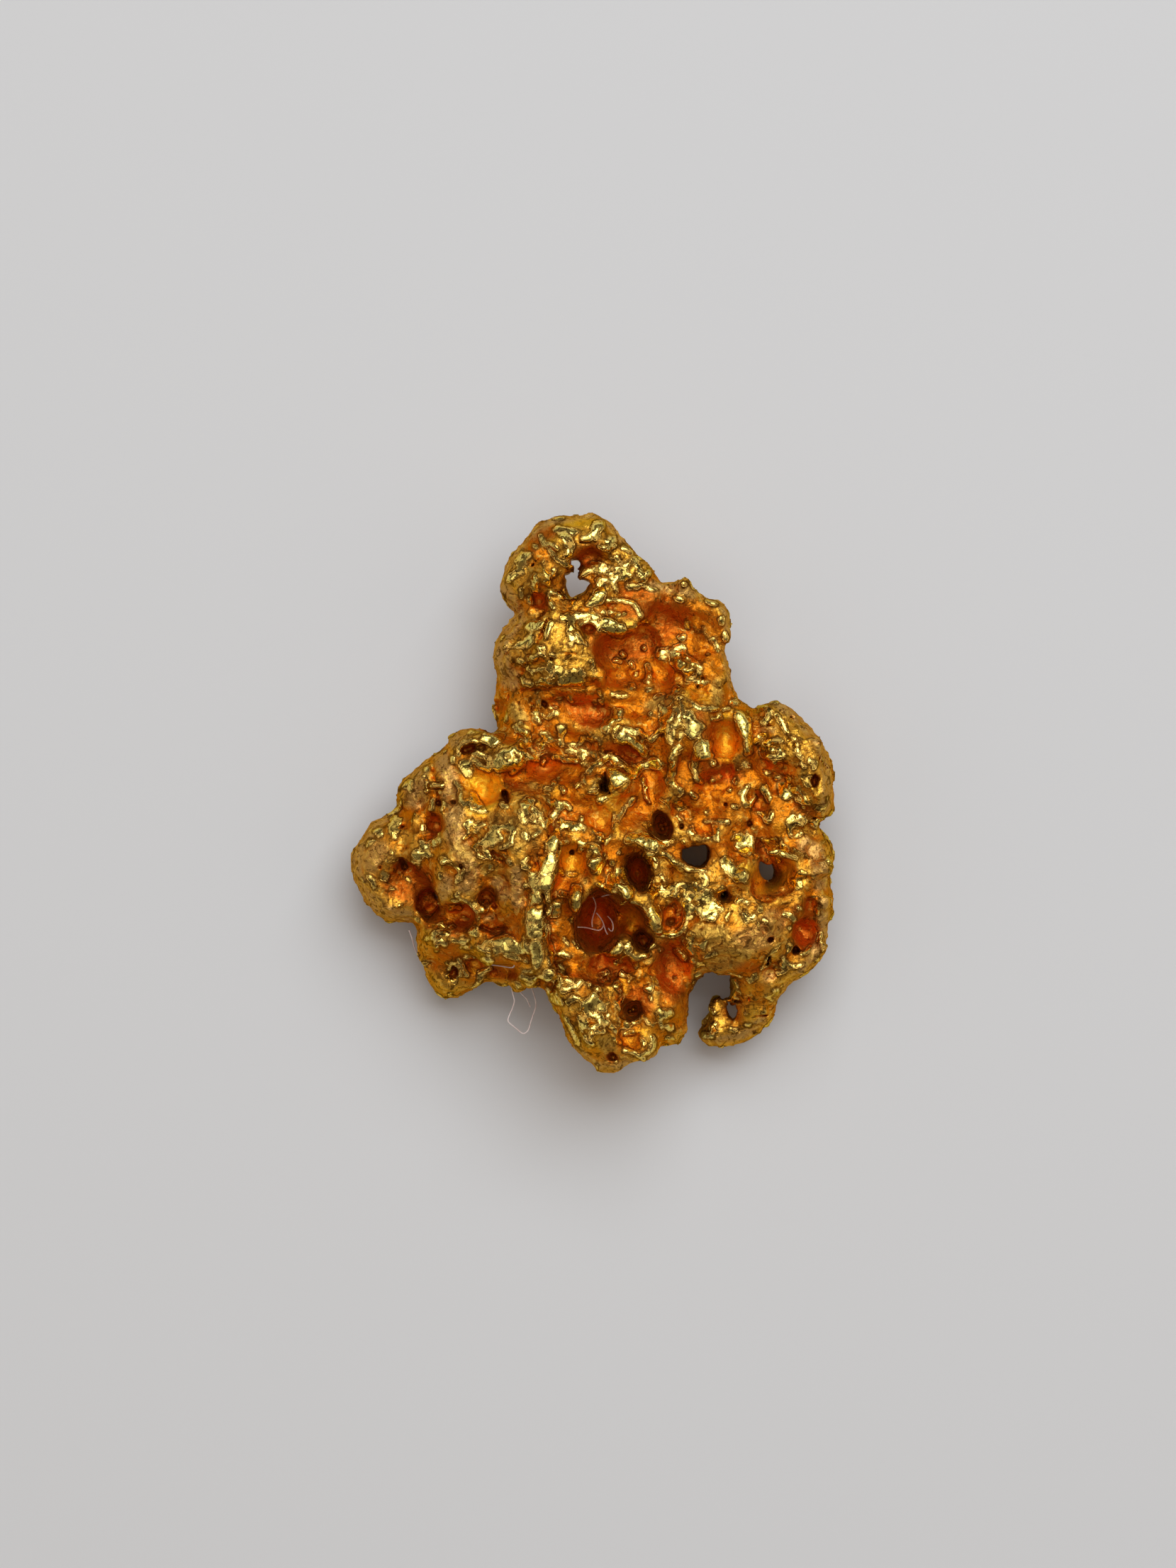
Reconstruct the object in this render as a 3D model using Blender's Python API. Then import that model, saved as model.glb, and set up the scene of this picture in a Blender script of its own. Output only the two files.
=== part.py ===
"""A spongy gold nugget: one natural piece of gold, lying as it comes to rest.

Round lumps grew together into the body. Smooth hollows are sunk into it, low ridges and crumbs of gold
stand up between the hollows, and holes go through it. Its worn underside stands on a few small flats.

The forms are laid out in millimetres, X to the right, Y towards the crown and Z up. The finished solid
is brought to its real size in metres, with the origin below the middle of its box.

Run it with: blender --background --python part.py
"""

from math import hypot, radians
from random import Random
from typing import NamedTuple

import bmesh
import bpy
from mathutils import Euler, Matrix, Vector, noise

# Driving dimensions, in millimetres.
LENGTH = 17.4  # from crown to toe
WIDTH = 15.1
THICKNESS = 6.0
MM = 0.001  # a millimetre, in metres

MELT_STEP = 0.12  # the grain at which lumps melt together
LUMPY_SIZE = 1.1  # the size and height of the skin's own unevenness
LUMPY_DEPTH = 0.09
RIDGE_STEP = 0.6  # the balls along a ridge, their drift and swelling, as shares of its half width
RIDGE_DRIFT = 0.35
RIDGE_SWELL = 0.35
RIDGE_TAPER = 0.4
SNAP = 0.03  # corners this near to the ground are put on it
BALL_STEPS = 3  # subdivisions of the ball behind each lump and hollow
MOST_TRIANGLES = 9400
SCATTER_TRIES = 3000  # how many corners of the skin each scatter tries
NOISE_SEED = 4

GOLD_COLOUR = (1.0, 0.66, 0.22, 1.0)
GOLD_ROUGHNESS = 0.28


class Blob(NamedTuple):
    """An ellipsoid: its middle, its three radii and its turns about X, Y and Z in degrees."""

    middle: tuple
    radii: tuple
    turns: tuple = (0, 0, 0)


class Scatter(NamedTuple):
    """How balls are scattered on the skin: see scattered()."""

    gap: float
    sizes: tuple
    lift: float
    facing: tuple
    seed: int


class Ridge(NamedTuple):
    """A raised line of gold: the points that it runs through, and its half width."""

    points: tuple
    half_width: float


BEADS = Scatter(gap=0.9, sizes=(0.16, 0.34), lift=0.1, facing=(0.55, 1.0), seed=5)
POCKS = Scatter(gap=0.8, sizes=(0.18, 0.38), lift=0.3, facing=(0.55, 1.0), seed=8)
UNDER_POCKS = Scatter(gap=1.3, sizes=(0.4, 0.7), lift=0.45, facing=(-1.0, -0.2), seed=3)

# The masses that grew together, from the crown down to the toe.
LUMPS = {
    "crown_left": Blob((-0.97, 7.57, 3.3), (1.16, 1.14, 1.1)),
    "crown_right": Blob((-0.08, 7.88, 3.3), (0.92, 0.92, 1.0)),
    "crown_cheek": Blob((0.75, 7.4, 3.2), (0.58, 0.6, 0.95)),
    "crown_ear": Blob((1.42, 6.82, 3.1), (0.5, 0.48, 0.9)),
    "crown_neck": Blob((0.5, 6.7, 3.0), (1.1, 0.8, 0.95)),
    "left_shoulder": Blob((-1.7, 6.75, 3.0), (1.1, 1.2, 1.2)),
    "left_knuckle": Blob((-2.25, 6.4, 2.9), (0.65, 0.6, 0.95)),
    "left_dome": Blob((-2.0, 4.4, 2.6), (1.07, 1.2, 1.5)),
    "left_heel": Blob((-2.45, 2.95, 2.2), (0.72, 0.88, 1.2)),
    "upper_plate": Blob((-0.8, 4.5, 3.2), (1.6, 1.7, 1.5)),
    "upper_bridge": Blob((0.6, 5.4, 2.9), (1.6, 1.2, 1.2)),
    "brow": Blob((1.9, 6.05, 3.0), (0.72, 0.62, 0.9)),
    "brow_bump": Blob((2.65, 6.1, 3.0), (0.6, 0.58, 0.85)),
    "brow_corner": Blob((3.6, 5.5, 2.9), (0.68, 0.7, 1.0)),
    "brow_tip": Blob((4.1, 4.95, 2.9), (0.19, 0.42, 0.3)),
    "temple": Blob((3.6, 3.85, 2.7), (0.68, 0.84, 1.2)),
    "jaw": Blob((3.75, 3.2, 2.7), (0.62, 0.62, 1.1)),
    "upper_bed": Blob((1.9, 4.3, 2.3), (2.1, 1.9, 1.35)),
    "waist_left": Blob((-1.6, 2.3, 2.6), (1.3, 1.3, 1.5)),
    "waist": Blob((0.6, 2.3, 2.7), (2.0, 1.5, 1.6)),
    "waist_right": Blob((2.9, 2.2, 2.8), (1.5, 1.4, 1.6)),
    "right_finger": Blob((4.32, 1.85, 2.9), (0.75, 1.14, 1.3)),
    "left_brow": Blob((-3.8, 1.34, 3.0), (0.8, 0.8, 1.2)),
    "left_brow_inner": Blob((-2.7, 1.05, 3.2), (0.95, 0.85, 1.3)),
    "left_slope": Blob((-4.63, 0.42, 2.7), (1.36, 0.87, 1.3), (0, 0, 40)),
    "left_slope_end": Blob((-5.42, 0.0, 2.4), (0.7, 0.66, 1.1)),
    "left_lobe": Blob((-6.1, -1.73, 2.0), (1.22, 1.18, 1.4)),
    "left_lobe_tip": Blob((-6.85, -2.15, 1.9), (0.7, 0.88, 1.1)),
    "left_lobe_foot": Blob((-6.05, -2.93, 1.5), (1.15, 1.04, 1.62)),
    "left_neck": Blob((-4.9, -1.4, 2.4), (1.0, 1.3, 1.5)),
    "left_body": Blob((-3.7, -1.7, 3.1), (1.5, 2.6, 1.9)),
    "middle_left": Blob((-2.2, -1.6, 3.4), (1.6, 2.4, 2.0)),
    "low_left": Blob((-4.3, -4.15, 2.2), (1.05, 0.95, 1.4)),
    "left_foot": Blob((-4.4, -5.3, 1.2), (0.8, 1.07, 1.35)),
    "low_left_side": Blob((-4.86, -4.6, 1.7), (0.65, 0.95, 1.1)),
    "left_foot_side": Blob((-3.75, -5.35, 1.6), (0.4, 0.68, 0.8)),
    "low_ledge": Blob((-2.7, -4.4, 3.2), (1.15, 1.05, 1.3)),
    "low_ledge_end": Blob((-2.0, -5.1, 3.4), (0.95, 0.85, 1.2)),
    "cave_floor": Blob((-2.55, -4.95, 1.9), (1.15, 0.95, 0.8)),
    "middle": Blob((0.0, -0.6, 3.0), (2.2, 2.0, 1.8)),
    "middle_low": Blob((0.3, -3.7, 3.0), (2.3, 2.2, 1.9)),
    "toe_root": Blob((-0.2, -6.1, 3.4), (1.15, 1.0, 1.4)),
    "toe": Blob((0.2, -7.25, 3.4), (1.02, 0.95, 1.3)),
    "toe_cheek": Blob((-0.28, -6.85, 3.3), (0.74, 0.7, 1.1)),
    "toe_tip": Blob((0.5, -8.05, 3.3), (0.62, 0.62, 0.8)),
    "toe_side": Blob((1.38, -7.72, 3.2), (0.62, 0.74, 0.95)),
    "low_middle": Blob((1.7, -6.4, 2.7), (1.25, 1.15, 1.4)),
    "low_middle_side": Blob((2.4, -7.12, 2.5), (0.63, 0.7, 0.8)),
    "low_right": Blob((2.1, -5.2, 2.6), (1.3, 1.1, 1.5)),
    "right_bed": Blob((3.3, -0.2, 2.6), (2.5, 2.3, 1.5)),
    "right_bed_low": Blob((3.3, -2.6, 2.8), (2.2, 1.7, 1.5)),
    "right_peak": Blob((5.66, 2.25, 3.0), (0.67, 0.78, 0.95)),
    "right_wall_top": Blob((6.2, 1.35, 2.9), (0.95, 1.3, 1.25), (0, 0, 35)),
    "right_wall_bulge": Blob((6.62, 0.62, 2.7), (0.84, 0.97, 1.4)),
    "right_wall_knob": Blob((6.72, -0.2, 2.6), (0.8, 0.62, 1.3)),
    "right_wall": Blob((6.45, -1.95, 2.3), (1.06, 1.05, 1.5)),
    "wall_root": Blob((5.9, -0.9, 2.5), (0.85, 0.85, 1.3)),
    "right_wall_low": Blob((6.38, -3.3, 2.1), (1.07, 1.27, 1.6)),
    "right_corner": Blob((6.12, -4.5, 1.9), (1.2, 1.17, 1.6)),
    "slab": Blob((4.2, -4.1, 3.1), (1.95, 1.45, 1.2), (0, 6, 0)),
    "slab_end": Blob((5.35, -5.4, 2.0), (1.3, 0.85, 1.3), (0, 0, 40)),
    "hook_root": Blob((5.0, -6.45, 1.5), (0.7, 0.9, 1.1)),
    "hook": Blob((4.25, -7.38, 1.1), (1.02, 0.46, 0.95), (0, 0, 12)),
    "hook_tip": Blob((3.64, -7.35, 1.2), (0.46, 0.5, 0.8)),
    "hook_knob": Blob((3.84, -6.7, 1.5), (0.29, 0.55, 0.6), (0, 0, -8)),
    "back_foot": Blob((-1.5, 4.35, 1.25), (1.3, 1.35, 1.55)),
    "right_foot": Blob((4.9, 0.2, 1.3), (1.2, 1.4, 1.55)),
    "belly": Blob((-0.5, -2.0, 1.9), (2.6, 2.6, 1.5)),
    "belly_left": Blob((-3.2, 0.1, 1.6), (1.3, 1.3, 1.2)),
    "belly_waist": Blob((1.1, 1.2, 1.5), (1.5, 1.2, 1.1)),
    "belly_right": Blob((2.7, -1.5, 1.5), (1.4, 1.3, 1.2)),
    "belly_low": Blob((-1.3, -3.9, 1.7), (1.5, 1.2, 1.3)),
    "belly_low_right": Blob((1.8, -4.1, 1.6), (1.2, 1.4, 1.2)),
    "belly_back": Blob((0.8, 4.1, 1.5), (1.3, 1.4, 1.1)),
    "belly_heel": Blob((-1.9, 2.5, 1.4), (0.9, 1.1, 1.0)),
    "belly_temple": Blob((2.9, 3.7, 1.7), (0.9, 1.2, 1.0)),
    "corner_foot": Blob((5.7, -3.9, 1.0), (1.1, 1.2, 1.2)),
}

# Broad hollows sunk into the body before its ridges and crumbs stand up.
VALLEYS = {
    "upper_bowl": Blob((1.55, 4.25, 4.2), (1.5, 1.25, 1.2)),
    "upper_bowl_right": Blob((2.7, 4.9, 4.0), (1.0, 1.1, 1.0)),
    "brow_pocket": Blob((3.55, 5.2, 4.0), (0.5, 0.55, 0.65)),
    "brow_groove": Blob((2.0, 5.75, 4.0), (0.95, 0.3, 0.65)),
    "waist_bowl": Blob((0.1, 2.65, 4.5), (0.95, 0.65, 0.9)),
    "waist_bowl_right": Blob((1.5, 2.7, 4.5), (0.8, 0.55, 0.8)),
    "finger_slot": Blob((4.05, 1.75, 4.3), (0.5, 0.95, 1.0), (0, 0, 6)),
    "finger_floor": Blob((4.0, 0.5, 4.2), (0.75, 0.45, 0.8)),
    "long_groove": Blob((-1.4, 0.5, 5.0), (1.35, 0.48, 1.0), (0, 0, 4)),
    "middle_dip": Blob((0.15, -0.5, 4.9), (0.6, 0.85, 0.8)),
    "middle_bowl": Blob((1.35, -0.35, 4.7), (0.85, 0.75, 0.9), (0, 0, 30)),
    "cup": Blob((-3.35, 0.2, 4.5), (0.48, 0.58, 0.7)),
    "left_lobe_dip": Blob((-5.75, -2.7, 3.2), (0.65, 0.75, 0.55)),
    "left_seam": Blob((-5.05, -3.2, 3.4), (0.3, 0.75, 0.9), (0, 0, 8)),
    "left_square": Blob((-5.0, -1.0, 3.9), (0.38, 0.45, 0.55)),
    "left_lane": Blob((-3.1, -2.65, 5.05), (0.6, 0.6, 0.6)),
    "low_left_fold": Blob((-4.1, -3.6, 3.6), (0.7, 0.28, 0.6), (0, 0, -8)),
    "ridge_lane": Blob((-0.75, -4.2, 4.9), (0.38, 1.5, 0.9), (0, 0, 6)),
    "ridge_lane_top": Blob((-0.6, -2.0, 4.95), (0.42, 0.42, 0.6)),
    "low_lane": Blob((0.35, -5.4, 4.4), (0.95, 0.5, 0.85), (0, 0, -12)),
    "low_bowl": Blob((2.5, -5.35, 4.1), (0.75, 0.85, 0.95)),
    "toe_pocket": Blob((1.1, -7.45, 4.15), (0.6, 0.35, 0.5), (0, 0, -25)),
    "right_dell": Blob((5.1, -0.3, 4.1), (0.75, 1.0, 0.75)),
    "right_dell_low": Blob((3.3, -0.6, 4.1), (0.95, 0.75, 0.7)),
    "ember_bowl": Blob((5.75, -2.75, 3.9), (0.6, 0.6, 0.9)),
    "corner_bowl": Blob((6.6, -4.25, 3.1), (0.5, 0.6, 0.75)),
    "corner_bowl_top": Blob((6.75, -3.35, 3.3), (0.32, 0.5, 0.55)),
    "neck_gap": Blob((-1.8, 2.5, 4.1), (0.7, 0.4, 0.7)),
    "slope_dent": Blob((-5.35, -0.05, 3.55), (0.4, 0.33, 0.4)),
    "lobe_fold": Blob((-6.15, -1.05, 3.35), (0.55, 0.2, 0.4), (0, 0, 38)),
    "column_side": Blob((-3.75, -1.3, 4.9), (0.22, 0.55, 0.45), (0, 0, 8)),
    "crinkle_dip": Blob((-2.85, -1.85, 5.2), (0.5, 0.22, 0.42), (0, 0, 8)),
    "brow_fold": Blob((-2.4, 1.6, 4.55), (0.32, 0.25, 0.45)),
    "heel_bowl": Blob((-1.35, 2.3, 4.2), (0.4, 0.42, 0.5)),
    "waist_dimple": Blob((-0.35, 1.65, 4.4), (0.5, 0.26, 0.45)),
    "dome_fold": Blob((-2.35, 4.95, 4.0), (0.3, 0.18, 0.4), (0, 0, 20)),
    "plate_dip": Blob((-0.6, 4.75, 4.8), (0.3, 0.26, 0.32)),
    "slab_dip": Blob((4.0, -5.25, 3.9), (0.65, 0.4, 0.4)),
    "wall_dimple": Blob((5.55, 1.5, 4.1), (0.4, 0.32, 0.4)),
    "wall_groove": Blob((6.0, -0.35, 4.0), (0.55, 0.18, 0.45), (0, 0, -30)),
}

# Lines of gold that stand up between the hollows.
RIDGES = {
    "long_ridge": Ridge(
        (
            (-1.05, -1.0, 5.0),
            (-1.35, -2.1, 5.15),
            (-1.65, -3.4, 5.0),
            (-1.7, -4.6, 4.7),
            (-1.35, -5.5, 4.5),
            (-0.6, -6.3, 4.4),
        ),
        0.34,
    ),
    "twin_ridge": Ridge(
        ((-1.6, -2.4, 5.0), (-2.0, -3.4, 4.85), (-1.95, -4.3, 4.6), (-1.75, -5.1, 4.4)),
        0.3,
    ),
    "column": Ridge(
        ((-4.35, 0.3, 3.7), (-4.3, -0.8, 4.2), (-4.2, -2.0, 4.55), (-4.5, -3.1, 4.0)),
        0.42,
    ),
    "left_brow_line": Ridge(
        ((-4.4, 1.2, 3.6), (-3.6, 1.75, 4.0), (-2.6, 1.5, 4.35), (-1.4, 1.1, 4.4), (-0.2, 1.15, 4.3)),
        0.26,
    ),
    "waist_band": Ridge(
        ((0.2, 0.9, 4.3), (0.9, 0.35, 4.5), (1.5, 0.75, 4.6), (2.1, 1.0, 4.5)),
        0.2,
    ),
    "waist_upper_band": Ridge(
        ((0.55, 2.2, 4.1), (1.1, 1.75, 4.35), (1.65, 1.3, 4.4)),
        0.2,
    ),
    "temple_strut": Ridge(
        ((2.6, 3.3, 3.6), (2.7, 2.6, 4.1), (2.5, 1.6, 4.3), (2.4, 0.7, 4.2)),
        0.24,
    ),
    "temple_branch": Ridge(
        ((2.7, 2.7, 4.1), (3.1, 2.2, 4.35), (3.4, 1.4, 4.3), (3.2, 0.6, 4.0)),
        0.22,
    ),
    "bowl_rib": Ridge(
        ((0.2, 5.5, 4.0), (0.9, 5.15, 4.05), (1.6, 5.0, 3.9)),
        0.3,
    ),
    "bowl_rim_rib": Ridge(
        ((0.5, 5.95, 3.9), (1.2, 5.9, 3.85), (1.5, 5.5, 3.6)),
        0.14,
    ),
    "crown_brace": Ridge(
        ((-1.5, 5.3, 4.3), (-1.25, 6.2, 4.1), (-1.5, 7.1, 4.1)),
        0.22,
    ),
    "crown_cross": Ridge(
        ((-0.6, 5.9, 4.0), (0.2, 6.2, 4.0), (0.75, 6.6, 3.9)),
        0.24,
    ),
    "cavity_brow": Ridge(
        ((0.9, -1.4, 4.6), (1.6, -1.5, 4.7), (2.3, -1.7, 4.5), (3.0, -2.3, 4.3)),
        0.26,
    ),
    "cavity_lip": Ridge(
        ((0.55, -2.4, 4.75), (1.0, -3.0, 4.8), (1.6, -3.5, 4.7), (2.1, -4.1, 4.5), (2.9, -4.1, 4.3)),
        0.2,
    ),
    "low_lip": Ridge(
        ((0.4, -4.85, 4.3), (0.95, -4.6, 4.4), (1.3, -5.2, 4.3)),
        0.17,
    ),
    "finger_edge": Ridge(
        ((4.5, 2.5, 3.9), (4.75, 1.9, 4.0), (4.85, 1.2, 3.8)),
        0.18,
    ),
    "right_brace": Ridge(
        ((4.5, -1.3, 4.2), (4.9, -1.9, 4.2), (4.6, -2.5, 4.3), (5.3, -3.2, 4.0), (6.2, -3.1, 3.6)),
        0.22,
    ),
    "right_shelf": Ridge(
        ((5.0, -1.5, 4.0), (5.7, -1.8, 3.9), (6.2, -2.1, 3.7)),
        0.2,
    ),
}

# Small crumbs of gold left standing in the hollows.
CRUMBS = {
    "bowl_bean": Blob((2.85, 4.0, 3.75), (0.42, 0.24, 0.3), (0, 0, -38)),
    "bowl_chip": Blob((2.1, 4.35, 3.5), (0.16, 0.2, 0.3)),
    "bowl_grain": Blob((1.7, 3.7, 3.45), (0.14, 0.26, 0.3)),
    "bowl_grain_low": Blob((1.2, 3.25, 3.6), (0.18, 0.16, 0.35)),
    "bowl_grain_side": Blob((0.85, 4.25, 3.3), (0.2, 0.15, 0.3)),
    "dell_chip": Blob((4.85, -0.1, 3.7), (0.22, 0.28, 0.4), (0, 0, 20)),
    "dell_grain": Blob((5.4, 0.05, 3.6), (0.13, 0.26, 0.35)),
    "dell_drop": Blob((5.45, -0.7, 3.6), (0.18, 0.3, 0.35)),
    "dell_low_grain": Blob((3.1, -1.2, 3.75), (0.16, 0.16, 0.4)),
    "dell_low_chip": Blob((3.8, -1.1, 3.75), (0.12, 0.25, 0.4)),
    "middle_chip": Blob((0.2, -0.2, 4.35), (0.22, 0.14, 0.3)),
    "ridge_island": Blob((0.05, -2.05, 4.7), (0.32, 0.45, 0.5)),
    "lane_island": Blob((-0.55, -3.2, 4.6), (0.3, 0.42, 0.6)),
    "low_island": Blob((0.7, -5.9, 4.0), (0.2, 0.35, 0.4)),
    "finger_grain": Blob((3.15, 1.5, 4.2), (0.3, 0.28, 0.35)),
}

# Deep pockets and the holes that go through, cut last.
HOLES = {
    "crown_hole": Blob((-0.62, 6.45, 3.0), (0.24, 0.46, 3.0), (0, 0, -10)),
    "crown_hole_side": Blob((-0.25, 6.45, 3.2), (0.28, 0.17, 2.4), (0, 0, 15)),
    "crown_hole_top": Blob((-0.5, 7.14, 3.2), (0.2, 0.22, 2.4)),
    "crown_slit": Blob((-1.8, 7.1, 3.2), (0.09, 0.2, 2.4), (0, 0, -30)),
    "crown_pocket": Blob((0.0, 7.4, 4.1), (0.42, 0.3, 0.7)),
    "crown_left_pocket": Blob((-1.6, 8.0, 4.1), (0.3, 0.2, 0.5), (0, 0, 20)),
    "shoulder_pocket": Blob((-1.6, 5.95, 4.2), (0.3, 0.48, 0.8)),
    "dome_groove": Blob((-1.65, 4.95, 4.4), (0.13, 0.5, 0.5), (0, 0, -12)),
    "plate_lip": Blob((-0.1, 5.15, 4.4), (0.3, 0.2, 0.6)),
    "heel_groove": Blob((-2.3, 3.75, 4.0), (0.12, 0.45, 0.6), (0, 0, -50)),
    "heel_pocket": Blob((-2.75, 2.9, 3.4), (0.22, 0.4, 0.5)),
    "jaw_notch": Blob((3.95, 4.62, 2.9), (0.2, 0.13, 1.6), (0, 0, 30)),
    "finger_notch": Blob((5.0, 2.35, 2.9), (0.1, 0.35, 1.6), (0, 0, -8)),
    "left_slot": Blob((-4.95, 0.6, 3.9), (0.14, 0.5, 0.6), (0, 0, -8)),
    "left_pit": Blob((-4.75, -0.32, 3.8), (0.2, 0.18, 0.5)),
    "brow_pit": Blob((-3.85, 1.3, 4.3), (0.36, 0.17, 0.55), (0, 0, 15)),
    "groove_pit": Blob((-2.68, -0.12, 4.2), (0.17, 0.24, 1.3)),
    "ember_pit": Blob((-0.62, -1.85, 4.4), (0.16, 0.13, 1.4)),
    "waist_pit": Blob((0.35, 0.3, 4.2), (0.22, 0.42, 1.3)),
    "left_cave": Blob((-3.3, -3.2, 4.2), (0.4, 0.34, 0.9)),
    "low_cave": Blob((-3.0, -4.15, 4.2), (0.55, 0.22, 0.9), (0, 0, -10)),
    "ledge_cave": Blob((-2.65, -5.6, 3.35), (0.6, 0.42, 0.62)),
    "foot_pit": Blob((-4.35, -5.6, 2.3), (0.25, 0.24, 0.7)),
    "lobe_pit": Blob((-5.85, -2.2, 3.2), (0.17, 0.16, 0.6)),
    "lobe_pit_outer": Blob((-6.65, -2.38, 3.0), (0.15, 0.12, 0.5)),
    "great_cavity": Blob((0.15, -3.95, 3.9), (0.8, 0.98, 1.9)),
    "great_cavity_side": Blob((1.15, -3.85, 4.3), (0.5, 0.55, 0.9)),
    "round_cavity": Blob((1.55, -4.5, 3.6), (0.36, 0.36, 1.9)),
    "leaf_cavity": Blob((1.38, -2.42, 3.9), (0.37, 0.62, 1.7), (0, 0, 12)),
    "violet_cavity": Blob((2.15, -1.02, 3.7), (0.36, 0.44, 1.7), (0, 0, 20)),
    "lip_pit": Blob((2.45, -3.95, 4.0), (0.3, 0.2, 0.7)),
    "window": Blob((3.2, -1.88, 2.8), (0.5, 0.36, 2.6)),
    "window_low": Blob((4.05, -2.75, 2.8), (0.36, 0.28, 2.6), (18, 0, 0)),
    "heart_left": Blob((5.3, -2.35, 2.8), (0.2, 0.34, 2.6), (0, 0, 12)),
    "heart_right": Blob((5.52, -2.5, 2.8), (0.22, 0.24, 2.6)),
    "wall_pit": Blob((6.88, 0.42, 3.6), (0.14, 0.26, 0.8)),
    "wall_notch": Blob((7.46, -0.98, 2.4), (0.26, 0.12, 2.0)),
    "dell_pit": Blob((4.12, -0.38, 3.6), (0.14, 0.13, 1.0)),
    "dell_pit_right": Blob((4.8, -0.98, 3.5), (0.17, 0.14, 0.7)),
    "slab_pit": Blob((5.47, -4.55, 3.5), (0.14, 0.13, 0.9)),
    "slab_slit": Blob((5.45, -5.2, 2.6), (0.1, 0.36, 2.0), (0, 0, -28)),
    "corner_pit": Blob((6.28, -4.88, 2.6), (0.2, 0.23, 1.1)),
    "toe_cavity": Blob((1.25, -6.65, 3.6), (0.36, 0.3, 1.3)),
    "hook_gap": Blob((3.85, -6.0, 2.4), (0.55, 0.27, 2.8)),
    "hook_gap_mouth": Blob((3.1, -6.95, 2.4), (0.15, 0.6, 2.8), (0, 0, -8)),
    "hook_gap_side": Blob((3.28, -6.35, 2.4), (0.26, 0.4, 2.8)),
    "hook_gap_inner": Blob((4.3, -6.2, 2.4), (0.1, 0.32, 2.8), (0, 0, -12)),
    "hook_eye": Blob((4.42, -6.83, 1.6), (0.25, 0.25, 2.0)),
    "crown_notch": Blob((-0.45, 8.75, 3.4), (0.12, 0.2, 0.9)),
    "slope_notch": Blob((-6.12, -0.32, 2.6), (0.2, 0.12, 1.6)),
    "under_arch": Blob((0.8, 2.2, 0.2), (2.4, 1.7, 1.3)),
    "under_arch_left": Blob((-3.4, -1.2, 0.2), (1.3, 1.6, 1.3)),
    "under_arch_right": Blob((4.4, -3.2, 0.2), (1.9, 1.5, 1.4)),
    "under_arch_toe": Blob((0.5, -5.9, 0.6), (2.2, 1.9, 1.2)),
}


# Where the gold is smooth: the middle, in plan, and the radius of each place that no crumb or pock is on.
SMOOTH = {
    "upper_bowl": (1.6, 4.2, 1.3),
    "brow": (3.0, 5.3, 1.1),
    "waist_bowl": (-0.2, 2.7, 0.8),
    "waist_bowl_right": (1.6, 2.7, 0.5),
    "finger": (4.15, 1.6, 0.8),
    "long_groove": (-1.6, 0.5, 0.8),
    "middle": (0.1, -0.5, 0.7),
    "middle_bowl": (1.5, 0.0, 0.8),
    "cup": (-3.35, 0.2, 0.5),
    "low_bowl": (2.4, -5.4, 0.9),
    "low_lane": (0.3, -5.3, 0.8),
    "great_cavity": (0.3, -4.0, 1.2),
    "column": (-4.3, -1.5, 0.6),
    "left_lane": (-3.2, -2.5, 0.8),
    "ember": (5.7, -2.6, 0.6),
    "lobe_dip": (-5.7, -2.8, 0.6),
    "slab": (4.6, -4.6, 0.9),
    "long_ridge": (-1.5, -2.6, 0.5),
    "long_ridge_low": (-1.6, -4.2, 0.5),
    "window": (3.2, -1.85, 0.6),
    "crown_hole": (-0.6, 6.6, 0.7),
    "toe_end": (0.5, -8.1, 0.9),
    "hook": (4.3, -7.0, 1.2),
}


def clear_scene():
    """Removes what the startup scene holds."""
    for thing in list(bpy.data.objects):
        bpy.data.objects.remove(thing, do_unlink=True)


def new_object(name, mesh):
    """Returns a new object in the scene that shows this mesh."""
    thing = bpy.data.objects.new(name, mesh)
    bpy.context.scene.collection.objects.link(thing)
    return thing


def add_blob(bm, blob):
    """Adds a ball that is stretched to the blob's radii, turned and put in its place."""
    turn = Euler([radians(angle) for angle in blob.turns])
    place = Matrix.LocRotScale(Vector(blob.middle), turn, Vector(blob.radii))
    bmesh.ops.create_icosphere(bm, subdivisions=BALL_STEPS, radius=1.0, matrix=place)


def add_ridge(bm, ridge):
    """Adds a row of overlapping balls along the ridge, of uneven size, smaller at its two ends."""
    points = [Vector(point) for point in ridge.points]
    spans = len(points) - 1
    for span, (start, end) in enumerate(zip(points, points[1:])):
        steps = max(1, round((end - start).length / (RIDGE_STEP * ridge.half_width)))
        for step in range(steps + 1):
            along = (span + step / steps) / spans
            middle = start.lerp(end, step / steps)
            taper = 1 - RIDGE_TAPER * abs(2 * along - 1) ** 3
            swell = 1 + RIDGE_SWELL * noise.noise(middle * 2)
            drift = noise.noise_vector(middle * 1.5) * RIDGE_DRIFT * ridge.half_width
            size = ridge.half_width * taper * swell
            add_blob(bm, Blob(middle + drift, (size, size, size)))


def is_smooth(place):
    """Tells whether this place, seen from above, is in one of the smooth places."""
    return any(hypot(place.x - x, place.y - y) < radius for x, y, radius in SMOOTH.values())


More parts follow.
